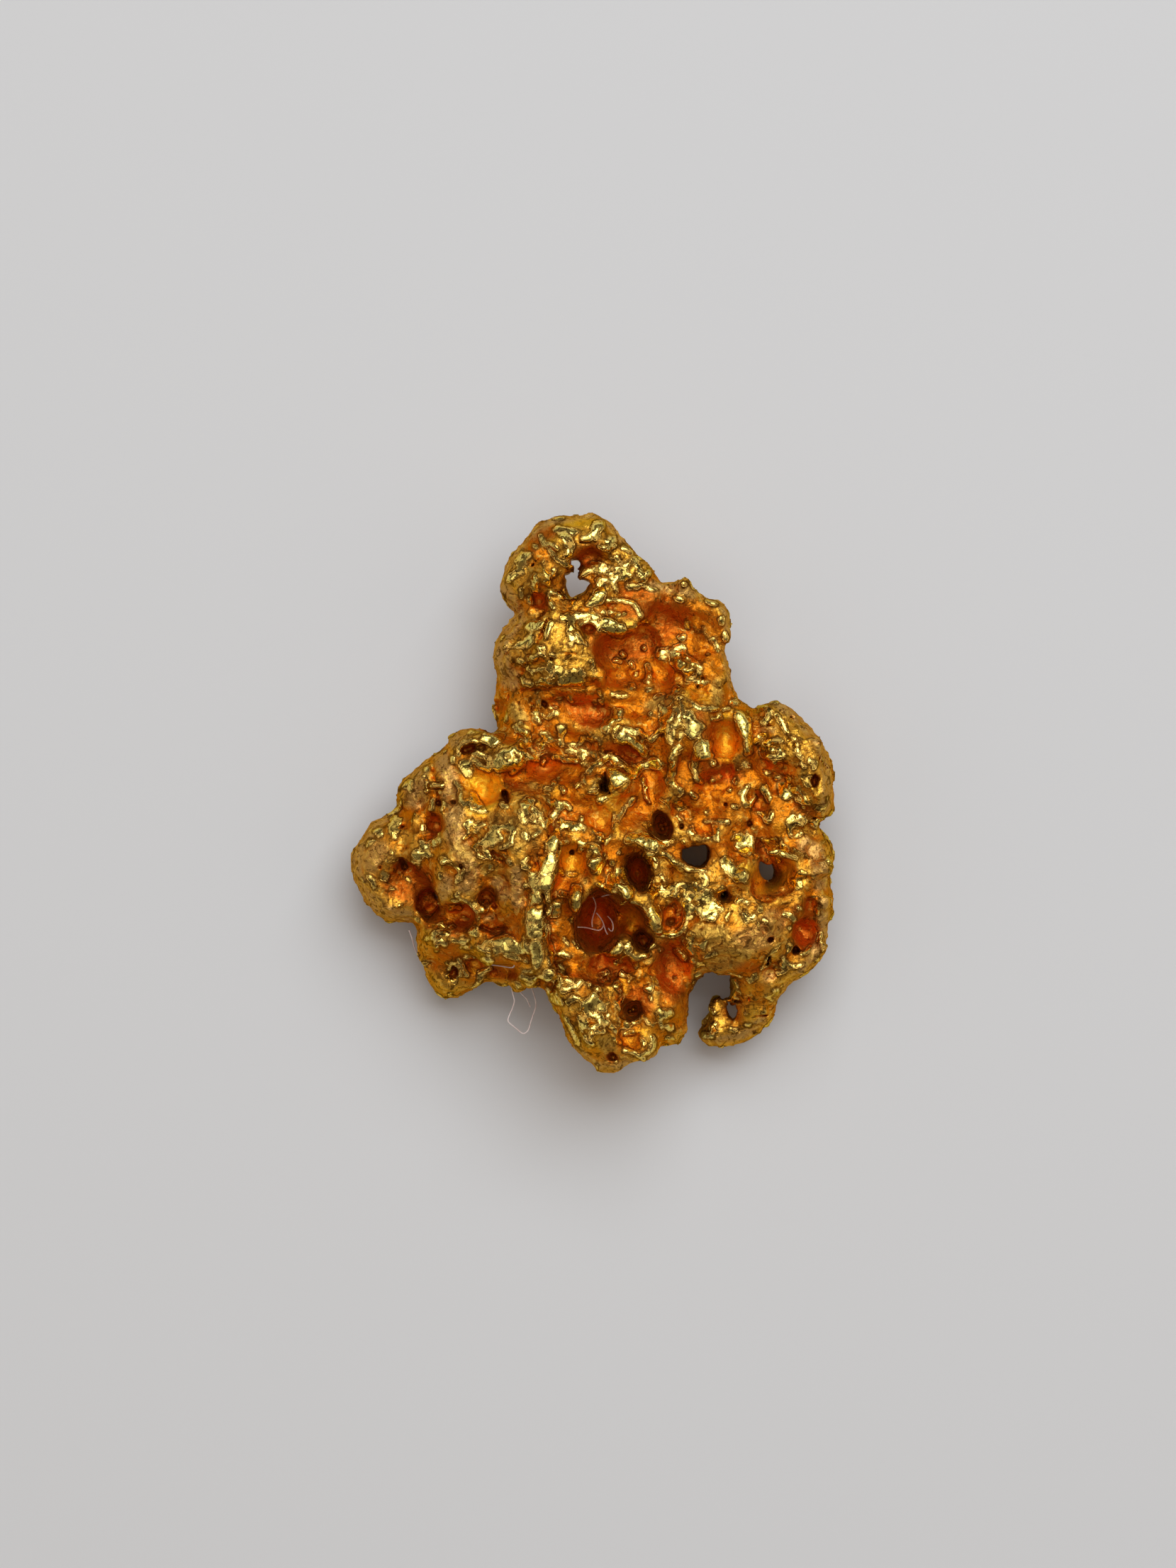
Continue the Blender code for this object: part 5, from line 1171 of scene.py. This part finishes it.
def mesh_from(name: str, points: Array, faces: Array) -> bpy.types.Mesh:
    """A mesh from arrays.

    Args:
        name: The mesh's name.
        points: The corners, one to a row.
        faces: The faces, one to a row, all with the same number of corners.

    Returns:
        The mesh.
    """
    mesh = bpy.data.meshes.new(name)
    count, sides = faces.shape
    mesh.vertices.add(len(points))
    mesh.vertices.foreach_set("co", np.ascontiguousarray(points, np.float32).ravel())
    mesh.loops.add(count * sides)
    mesh.loops.foreach_set("vertex_index", np.ascontiguousarray(faces, np.int32).ravel())
    mesh.polygons.add(count)
    mesh.polygons.foreach_set("loop_start", np.arange(0, count * sides, sides, dtype=np.int32))
    mesh.update(calc_edges=True)
    return mesh


def thinned(mesh: bpy.types.Mesh, most: int) -> bpy.types.Mesh:
    """A copy of a mesh with its least needed edges collapsed.

    Args:
        mesh: The mesh.
        most: The most triangles that the copy may have.

    Returns:
        The copy, in triangles.
    """
    source = bpy.data.objects.new("thinned", mesh)
    bpy.context.scene.collection.objects.link(source)
    mesh.calc_loop_triangles()
    triangulate = source.modifiers.new("triangles", "TRIANGULATE")
    triangulate.quad_method = "SHORTEST_DIAGONAL"
    decimate = source.modifiers.new("thin", "DECIMATE")
    decimate.ratio = min(1.0, most / len(mesh.loop_triangles))
    graph = bpy.context.evaluated_depsgraph_get()
    made = bpy.data.meshes.new_from_object(source.evaluated_get(graph))
    bpy.data.objects.remove(source)
    return made


def weld(mesh: bpy.types.Mesh, reach: float) -> None:
    """Merges the corners of a mesh that lie on one another, which drops the faces of no area between them.

    Args:
        mesh: The mesh.
        reach: How far apart two merged corners may be.
    """
    work = bmesh.new()
    work.from_mesh(mesh)
    bmesh.ops.remove_doubles(work, verts=work.verts, dist=reach)
    work.to_mesh(mesh)
    work.free()


@dataclass
class Bench:
    """A material's nodes, put in and joined one after another."""

    tree: bpy.types.NodeTree

    def put(self, kind: str, inputs: dict | None = None, **settings: object) -> bpy.types.Node:
        """Adds a node.

        Args:
            kind: The node's type.
            inputs: What goes into its sockets, by name or number: a value, or another node's output.
            **settings: The node's own settings.

        Returns:
            The node.
        """
        node = self.tree.nodes.new(kind)
        for name, value in settings.items():
            setattr(node, name, value)
        for name, value in (inputs or {}).items():
            socket = node.inputs[name]
            if isinstance(value, Socket):
                self.tree.links.new(value, socket)
            else:
                socket.default_value = value
        return node

    def attribute(self, name: str) -> Socket:
        """A number kept at the mesh's corners."""
        return self.put("ShaderNodeAttribute", attribute_name=name).outputs["Fac"]

    def sum(self, kind: str, a: Feed, b: Feed = 0.0, c: Feed = 0.0) -> Socket:
        """One step of arithmetic on up to three numbers."""
        return self.put("ShaderNodeMath", {0: a, 1: b, 2: c}, operation=kind).outputs[0]

    def times(self, a: Feed, b: Feed) -> Socket:
        """One number times another."""
        return self.sum("MULTIPLY", a, b)

    def shift(self, kind: str, a: Feed, b: Feed) -> Socket:
        """One step of arithmetic on two vectors."""
        return self.put("ShaderNodeVectorMath", {0: a, 1: b}, operation=kind).outputs[0]

    def span(self, value: Feed, low: float, high: float, to_low: float = 0.0, to_high: float = 1.0) -> Socket:
        """A number carried from one range to another, eased at both ends and kept within it."""
        inputs = {"Value": value, "From Min": low, "From Max": high, "To Min": to_low, "To Max": to_high}
        return self.put("ShaderNodeMapRange", inputs, interpolation_type="SMOOTHSTEP").outputs[0]

    def coats(self, colour: Feed, *coats: tuple[Feed, Feed]) -> Feed:
        """A colour with others laid over it in turn.

        Args:
            colour: The lowest colour.
            *coats: For each coat, the share of it that covers what is below, and its colour.

        Returns:
            The colour that shows.
        """
        for share, tone in coats:
            colour = self.put("ShaderNodeMix", {0: share, 6: colour, 7: tone}, data_type="RGBA").outputs[2]
        return colour

    def noise(self, place: Socket, size: float, detail: float = 3.0, rough: float = 0.6, curl: float = 0.0) -> Socket:
        """Cloudy noise from 0 to 1, with its cell size in millimetres, curled into streaks by the last number."""
        inputs = {"Vector": place, "Scale": 1 / (size * MM), "Detail": detail, "Roughness": rough, "Distortion": curl}
        return self.put("ShaderNodeTexNoise", inputs).outputs["Fac"]

    def facets(self, place: Socket, size: float) -> tuple[Socket, Socket]:
        """Flat facets that lean at random.

        Each cell round a scattered seed is a plane through the seed, whose slopes are the cell's own
        random numbers. The borders are bent by noise of nearly twice the facets' size.

        Args:
            place: Where on the piece.
            size: The facets' size, in millimetres.

        Returns:
            How far a place is from the cell's border, from 0, and the plane's height in millimetres.
        """
        middle = (0.5, 0.5, 0.5)
        inputs = {"Vector": place, "Scale": 0.6 / (size * MM), "Detail": 2.0}
        bend = self.shift("SUBTRACT", self.put("ShaderNodeTexNoise", inputs).outputs["Color"], middle)
        bend = self.put("ShaderNodeVectorMath", {0: bend, "Scale": 1.2 * size * MM}, operation="SCALE").outputs[0]
        inputs = {"Vector": self.shift("ADD", place, bend), "Scale": 1 / (size * MM), "Randomness": 1.0}
        cell, other = (self.put("ShaderNodeTexVoronoi", inputs, feature=kind).outputs for kind in ("F1", "F2"))
        away = self.shift("SUBTRACT", inputs["Vector"], cell["Position"])
        slope = self.shift("SUBTRACT", cell["Color"], middle)
        height = self.put("ShaderNodeVectorMath", {0: away, 1: slope}, operation="DOT_PRODUCT").outputs["Value"]
        return self.sum("SUBTRACT", other["Distance"], cell["Distance"]), self.times(height, 1 / MM)


@dataclass(frozen=True)
class Gold:
    """Native gold: pale and crumpled on crests, deep orange in hollows (partly stain, partly painted shade), and tan
    on side-facing rims, where a dim reflection is painted.
    """

    pale: Colour = (1.0, 0.80, 0.20, 1)
    straw: Colour = (0.95, 0.60, 0.11, 1)
    peach: Colour = (1.0, 0.66, 0.16, 1)
    honey: Colour = (0.90, 0.46, 0.05, 1)
    amber: Colour = (0.80, 0.24, 0.008, 1)
    rust: Colour = (0.62, 0.13, 0.01, 1)
    # painted bounce light, lighter than rust, for the deepest hollows
    painted_bounce_light: Colour = (0.95, 0.38, 0.05, 1)
    # painted reflected light on smooth bowls and round holes
    glow: Colour = (1.0, 0.56, 0.03, 1)
    tan: Colour = (0.72, 0.42, 0.12, 1)
    olive: Colour = (0.56, 0.34, 0.06, 1)
    umber: Colour = (0.46, 0.16, 0.014, 1)
    dark: Colour = (0.15, 0.055, 0.008, 1)
    sheen: Colour = (1.0, 0.74, 0.28, 1)

    def material(self) -> bpy.types.Material:
        """Makes the material.

        Returns:
            The material, with colour, roughness and bump from nodes.
        """
        made = bpy.data.materials.new("native_gold")
        made.use_nodes = True
        made.node_tree.nodes.clear()
        bench = Bench(made.node_tree)
        place = bench.put("ShaderNodeTexCoord").outputs["Object"]
        kinds = {skin: bench.attribute(skin.value) for skin in Skin if skin is not Skin.FOIL}
        hollow, crease, steep = (bench.attribute(name) for name in ("hollow", "crease", "steep"))
        cloud = bench.noise(place, 0.9)
        speck = bench.noise(place, 0.12, 2.0)
        fray = bench.sum("MULTIPLY_ADD", bench.noise(place, 0.16, 3.0), 0.3, -0.15)
        calm = bench.sum("SUBTRACT", 1.0, bench.times(kinds[Skin.GLOW], 0.8))

        # Where plates are, with frayed edges, and a line of painted shade just outside them.
        plate = bench.sum("ADD", bench.attribute("plate"), fray)
        bright = bench.span(plate, 0.46, 0.54)
        outline = bench.times(bench.span(plate, 0.30, 0.44), bench.sum("SUBTRACT", 1.0, bright))
        outline = bench.times(outline, bench.span(bench.noise(place, 0.5), 0.4, 0.6, 0.6, 1.0))

        # Thin dark veins follow a level of the noise, and its streaks give painted glints of thin crests and painted
        # shadow specks of crumpled gold.
        level = bench.sum("ABSOLUTE", bench.sum("SUBTRACT", bench.noise(place, 0.45, 3.0, 0.5), 0.5))
        vein = bench.times(bench.span(level, 0.006, 0.022, 1.0, 0.0), bench.span(fray, -0.05, 0.02))
        smooth = bench.sum("ADD", kinds[Skin.AMBER], bench.sum("ADD", kinds[Skin.RUST], kinds[Skin.GLOW]))
        streak = bench.noise(place, 0.26, 2.0, 0.5, 1.6)
        painted_glint = bench.times(bench.span(streak, 0.58, 0.64), bench.span(smooth, 0.0, 1.0, 0.85, 0.3))
        painted_shadow_speck = bench.times(bench.span(streak, 0.36, 0.42, 1.0, 0.0), bench.span(smooth, 0.0, 1.0, 0.9, 0.35))

        # Deeper hollows turn amber and then rust: partly the iron-oxide stain of the gold's recesses, partly painted
        # shade from light bounced between gold walls.
        depth = bench.sum("MULTIPLY_ADD", cloud, 0.3, bench.sum("SUBTRACT", hollow, 0.15))
        stain = bench.span(bench.noise(place, 0.35, 4.0), 0.45, 0.7, 0.0, 0.6)
        # The glow tone is painted reflected light; honey, amber and rust are the gold's own tones.
        tones = {Skin.HONEY: self.honey, Skin.AMBER: self.amber, Skin.RUST: self.rust, Skin.GLOW: self.glow}
        ground = bench.coats(
            self.honey,
            (bench.span(depth, 0.34, 0.5), self.amber),
            (bench.span(depth, 0.50, 0.72), self.rust),
            *((bench.times(kinds[skin], 0.85), tone) for skin, tone in tones.items()),
            # Painted dim reflection: tan on rims that face sideways.
            (bench.times(kinds[Skin.SATIN], 0.9), self.tan),
            (bench.times(kinds[Skin.DULL], 0.85), self.olive),
            # Painted bounce light: the deepest hollows are lightened to a brighter orange.
            (bench.times(bench.span(hollow, 0.72, 0.9), calm), self.painted_bounce_light),
            (bench.times(stain, calm), self.umber),
            (bench.times(vein, bench.times(calm, 0.7)), self.dark),
            # Painted shade: steep sides darkened towards umber.
            (bench.span(steep, 0.35, 0.9, 0.0, 0.6), self.umber),
            # Painted glints, then painted shadow specks.
            (bench.times(painted_glint, 0.75), self.straw),
            (bench.times(painted_shadow_speck, 0.8), self.dark),
            # Painted shade round the plates' edges.
            (bench.times(outline, 0.95), self.dark),
        )

        facet, tilt = bench.facets(place, 0.24)
        line = bench.times(bench.span(facet, 0.03, 0.14, 1.0, 0.0), bench.span(speck, 0.38, 0.52))
        strewn = bench.span(bench.attribute("drawn"), 0.0, 1.0, 0.75, 0.0)
        curl = bench.noise(place, 0.2, 2.0, 0.5, 1.6)
        leaf = bench.coats(
            self.peach,
            (bench.span(plate, 0.54, 0.66), self.pale),
            (bench.sum("ADD", strewn, bench.span(cloud, 0.5, 0.66, 0.0, 0.25)), self.straw),
            (bench.times(line, 0.8), self.dark),
            (bench.span(curl, 0.35, 0.41, 0.85, 0.0), self.dark),
            # Painted shade: steep sides of plates darkened towards olive.
            (bench.span(steep, 0.35, 0.85, 0.0, 0.6), self.olive),
        )
        # Painted shade: creases darkened.
        colour = bench.coats(ground, (bright, leaf), (bench.span(crease, 0.66, 0.82, 0.0, 0.6), self.dark))

        rough = bench.span(bright, 0.0, 1.0, 0.52, 0.26)
        rough = bench.sum("MULTIPLY_ADD", kinds[Skin.HONEY], -0.12, rough)
        rough = bench.sum("MULTIPLY_ADD", speck, 0.12, bench.sum("SUBTRACT", rough, 0.06))
        lean = bench.span(bright, 0.0, 1.0, 0.3, 0.22)
        grain = bench.span(bright, 0.0, 1.0, 0.06, 0.008)
        height = bench.sum("MULTIPLY_ADD", bench.noise(place, 0.2, 4.0, 0.6), grain, bench.times(tilt, lean))
        bump = bench.put("ShaderNodeBump", {"Strength": 1.0, "Distance": MM, "Height": height})
        inputs = {"Base Color": colour, "Metallic": 1.0, "Roughness": rough, "Specular Tint": self.sheen}
        shader = bench.put("ShaderNodeBsdfPrincipled", {**inputs, "Normal": bump.outputs[0]})
        bench.put("ShaderNodeOutputMaterial", {"Surface": shader.outputs[0]})
        return made


@dataclass
class Lint:
    """Threads of pale lint caught in the gold and hanging from its lower edge."""

    body: Field
    radius: float = 0.02
    sides: int = 6
    spacing: float = 0.03
    pale: Colour = (0.95, 0.84, 0.80, 1)
    grey: Colour = (0.74, 0.58, 0.53, 1)

    def line(self, strand: Strand) -> Array:
        """A thread's middle line.

        The drawn line is walked at even steps, bent by a narrow bell curve and waved a little, and its
        height is either a straight fall between its ends or a little over the gold below.

        Args:
            strand: The thread.

        Returns:
            Places, one to a row.
        """
        corners = corners_of(strand.path)
        runs = np.concatenate([[0], np.cumsum(np.hypot(*np.diff(corners, axis=0).T))])
        walk = np.linspace(0, runs[-1], max(8, int(runs[-1] / self.spacing)))
        line = np.stack([np.interp(walk, runs, corners[:, 0]), np.interp(walk, runs, corners[:, 1])])
        line = np.stack([blurred(row.astype(np.float32), 2.5) for row in line])
        line += 0.02 * np.sin(walk / 0.17 + np.array([[0.0], [1.7]]))
        if strand.heights is None:
            tops = blurred(self.body.tops().astype(np.float32), 1.5)
            spot = np.stack([line[turn] / self.body.step - self.body.low[turn] for turn in range(2)])
            near = np.clip(np.round(spot).astype(int), 0, np.array(tops.shape)[:, None] - 1)
            height = blurred(tops[near[0], near[1]].astype(np.float32), 4.0) + 0.06
        else:
            height = np.interp(walk, (0, runs[-1]), strand.heights)
        return np.stack([line[0], line[1], height + 0.03 * np.sin(walk / 0.23)], axis=1)

    def tube(self, line: Array) -> tuple[Array, Array]:
        """A closed tube round a line: a ring of corners at each place and a pole at either end.

        Args:
            line: The middle line, one place to a row.

        Returns:
            The corners and the triangles, which face outwards.
        """
        along = np.gradient(line, axis=0)
        along /= np.linalg.norm(along, axis=1, keepdims=True)
        side = np.cross(along, (0.0, 0.0, 1.0))
        side /= np.linalg.norm(side, axis=1, keepdims=True)
        over = np.cross(side, along)
        turns = np.arange(self.sides) * 2 * np.pi / self.sides
        ring = side[:, None] * np.cos(turns)[None, :, None] + over[:, None] * np.sin(turns)[None, :, None]
        rings = (line[:, None] + self.radius * ring).reshape(-1, 3)
        points = np.concatenate([rings, line[:1], line[-1:]])
        row, turn = np.meshgrid(np.arange(len(line) - 1), np.arange(self.sides), indexing="ij")
        a = row * self.sides + turn
        b = row * self.sides + (turn + 1) % self.sides
        walls = np.stack([a, b, b + self.sides, a, b + self.sides, a + self.sides], axis=-1).reshape(-1, 3)
        turn = np.arange(self.sides)
        after = (turn + 1) % self.sides
        last = (len(line) - 1) * self.sides
        first_cap = np.stack([np.full(self.sides, len(rings)), after, turn], axis=1)
        last_cap = np.stack([np.full(self.sides, len(rings) + 1), last + turn, last + after], axis=1)
        return points, np.concatenate([walls, first_cap, last_cap])[:, ::-1]

    def material(self) -> bpy.types.Material:
        """Makes the material.

        Returns:
            Pale pinkish lint, a little darker here and there.
        """
        made = bpy.data.materials.new("lint")
        made.use_nodes = True
        made.node_tree.nodes.clear()
        bench = Bench(made.node_tree)
        place = bench.put("ShaderNodeTexCoord").outputs["Object"]
        shade = bench.noise(place, 0.3)
        colour = bench.coats(self.pale, (bench.span(shade, 0.3, 0.7), self.grey))
        fuzz = {"Strength": 0.5, "Distance": 0.004 * MM, "Height": bench.noise(place, 0.02)}
        normal = bench.put("ShaderNodeBump", fuzz).outputs[0]
        rough = bench.span(shade, 0.0, 1.0, 0.7, 0.9)
        shader = bench.put("ShaderNodeBsdfPrincipled", {"Base Color": colour, "Roughness": rough, "Normal": normal})
        bench.put("ShaderNodeOutputMaterial", {"Surface": shader.outputs[0]})
        return made

    def build(self) -> bpy.types.Object:
        """Makes the lint.

        Returns:
            The finished piece.
        """
        points, faces, count = [], [], 0
        for strand in STRANDS:
            corners, triangles = self.tube(self.line(strand))
            points.append(corners)
            faces.append(triangles + count)
            count += len(corners)
        mesh = mesh_from("lint", np.concatenate(points) * MM, np.concatenate(faces))
        mesh.shade_smooth()
        mesh.materials.append(self.material())
        piece = bpy.data.objects.new("lint", mesh)
        bpy.context.scene.collection.objects.link(piece)
        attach(piece, BODY)
        log.info("lint: %d threads, %d triangles", len(STRANDS), len(mesh.polygons))
        return piece


@dataclass(frozen=True)
class Lamp:
    """An oblong lamp that faces the nugget: its middle and its sides in metres, and its power in watts."""

    name: str
    place: tuple[float, float, float]
    size: tuple[float, float]
    power: float
    tint: tuple[float, float, float]

    def hang(self) -> None:
        """Hangs the lamp."""
        light = bpy.data.lights.new(self.name, "AREA")
        light.shape = "RECTANGLE"
        light.size, light.size_y = self.size
        light.energy = self.power
        light.color = self.tint
        lamp = bpy.data.objects.new(self.name, light)
        lamp.location = self.place
        lamp.rotation_euler = (-Vector(self.place)).to_track_quat("-Z", "Y").to_euler()
        bpy.context.scene.collection.objects.link(lamp)


LAMPS: tuple[Lamp, ...] = (
    Lamp("window", (0.09, 0.26, 0.43), (0.46, 0.38), 1.85, (0.96, 1.03, 1.10)),
    Lamp("ceiling", (0.0, 0.001, 0.60), (0.54, 0.54), 0.98, (1.0, 0.98, 0.94)),
    Lamp("left_fill", (-0.42, 0.0, 0.30), (0.4, 0.4), 0.24, (1.0, 0.8, 0.66)),
    Lamp("right_fill", (0.42, 0.0, 0.30), (0.4, 0.4), 0.24, (1.0, 0.8, 0.66)),
)


@dataclass(frozen=True)
class Studio:
    """A pale table, soft lights round it and a camera looking straight down."""

    frame_height: float = 48.7
    centre: tuple[float, float] = (-0.14, 0.275)
    level: float = 3.5
    lens: float = 150.0
    film: float = 36.0
    table_size: float = 0.8
    table_depth: float = 0.004
    table_grey: float = 0.665
    sky: float = 0.12
    sky_tint: Colour = (1, 0.8, 0.66, 1)

    def table(self) -> None:
        """Lays the table: a thin slab whose top is at the nugget's lowest point."""
        half = self.table_size / 2
        points = np.array(list(product((-half, half), (-half, half), (-self.table_depth, 0.0))))
        quads = np.array([[0, 1, 3, 2], [4, 6, 7, 5], [0, 4, 5, 1], [2, 3, 7, 6], [0, 2, 6, 4], [1, 5, 7, 3]])
        mesh = mesh_from("table", points, quads)
        material = bpy.data.materials.new("table_paint")
        material.use_nodes = True
        material.node_tree.nodes.clear()
        bench = Bench(material.node_tree)
        grey = (self.table_grey,) * 3 + (1,)
        shader = bench.put("ShaderNodeBsdfPrincipled", {"Base Color": grey, "Roughness": 0.85})
        bench.put("ShaderNodeOutputMaterial", {"Surface": shader.outputs[0]})
        mesh.materials.append(material)
        table = bpy.data.objects.new("table", mesh)
        bpy.context.scene.collection.objects.link(table)

    def sky_light(self) -> None:
        """Sets an even, faintly warm sky."""
        world = bpy.data.worlds.new("studio")
        world.use_nodes = True
        background = world.node_tree.nodes["Background"].inputs
        background["Color"].default_value = self.sky_tint
        background["Strength"].default_value = self.sky
        bpy.context.scene.world = world

    def camera(self) -> None:
        """Sets up the camera: its height is the frame's height times the lens over the film's height."""
        camera = bpy.data.cameras.new("camera")
        camera.sensor_fit = "VERTICAL"
        camera.sensor_height = self.film
        camera.lens = self.lens
        camera.clip_start = 0.01
        camera.clip_end = 10.0
        holder = bpy.data.objects.new("camera", camera)
        height = self.level + self.frame_height * self.lens / self.film
        holder.location = (self.centre[0] * MM, self.centre[1] * MM, height * MM)
        bpy.context.scene.collection.objects.link(holder)
        bpy.context.scene.camera = holder

    def build(self) -> None:
        """Sets up the table, the lights and the camera."""
        self.table()
        self.sky_light()
        for lamp in LAMPS:
            lamp.hang()
        self.camera()
        bpy.context.scene.view_settings.view_transform = "Standard"


def main() -> None:
    """Builds every piece in order and reports it."""
    logging.basicConfig(level=logging.INFO, format="%(name)s: %(message)s")
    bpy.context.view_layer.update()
    Studio().build()
    nugget = Nugget()
    nugget.build()
    Lint(nugget.body).build()


if __name__ == "__main__":
    main()
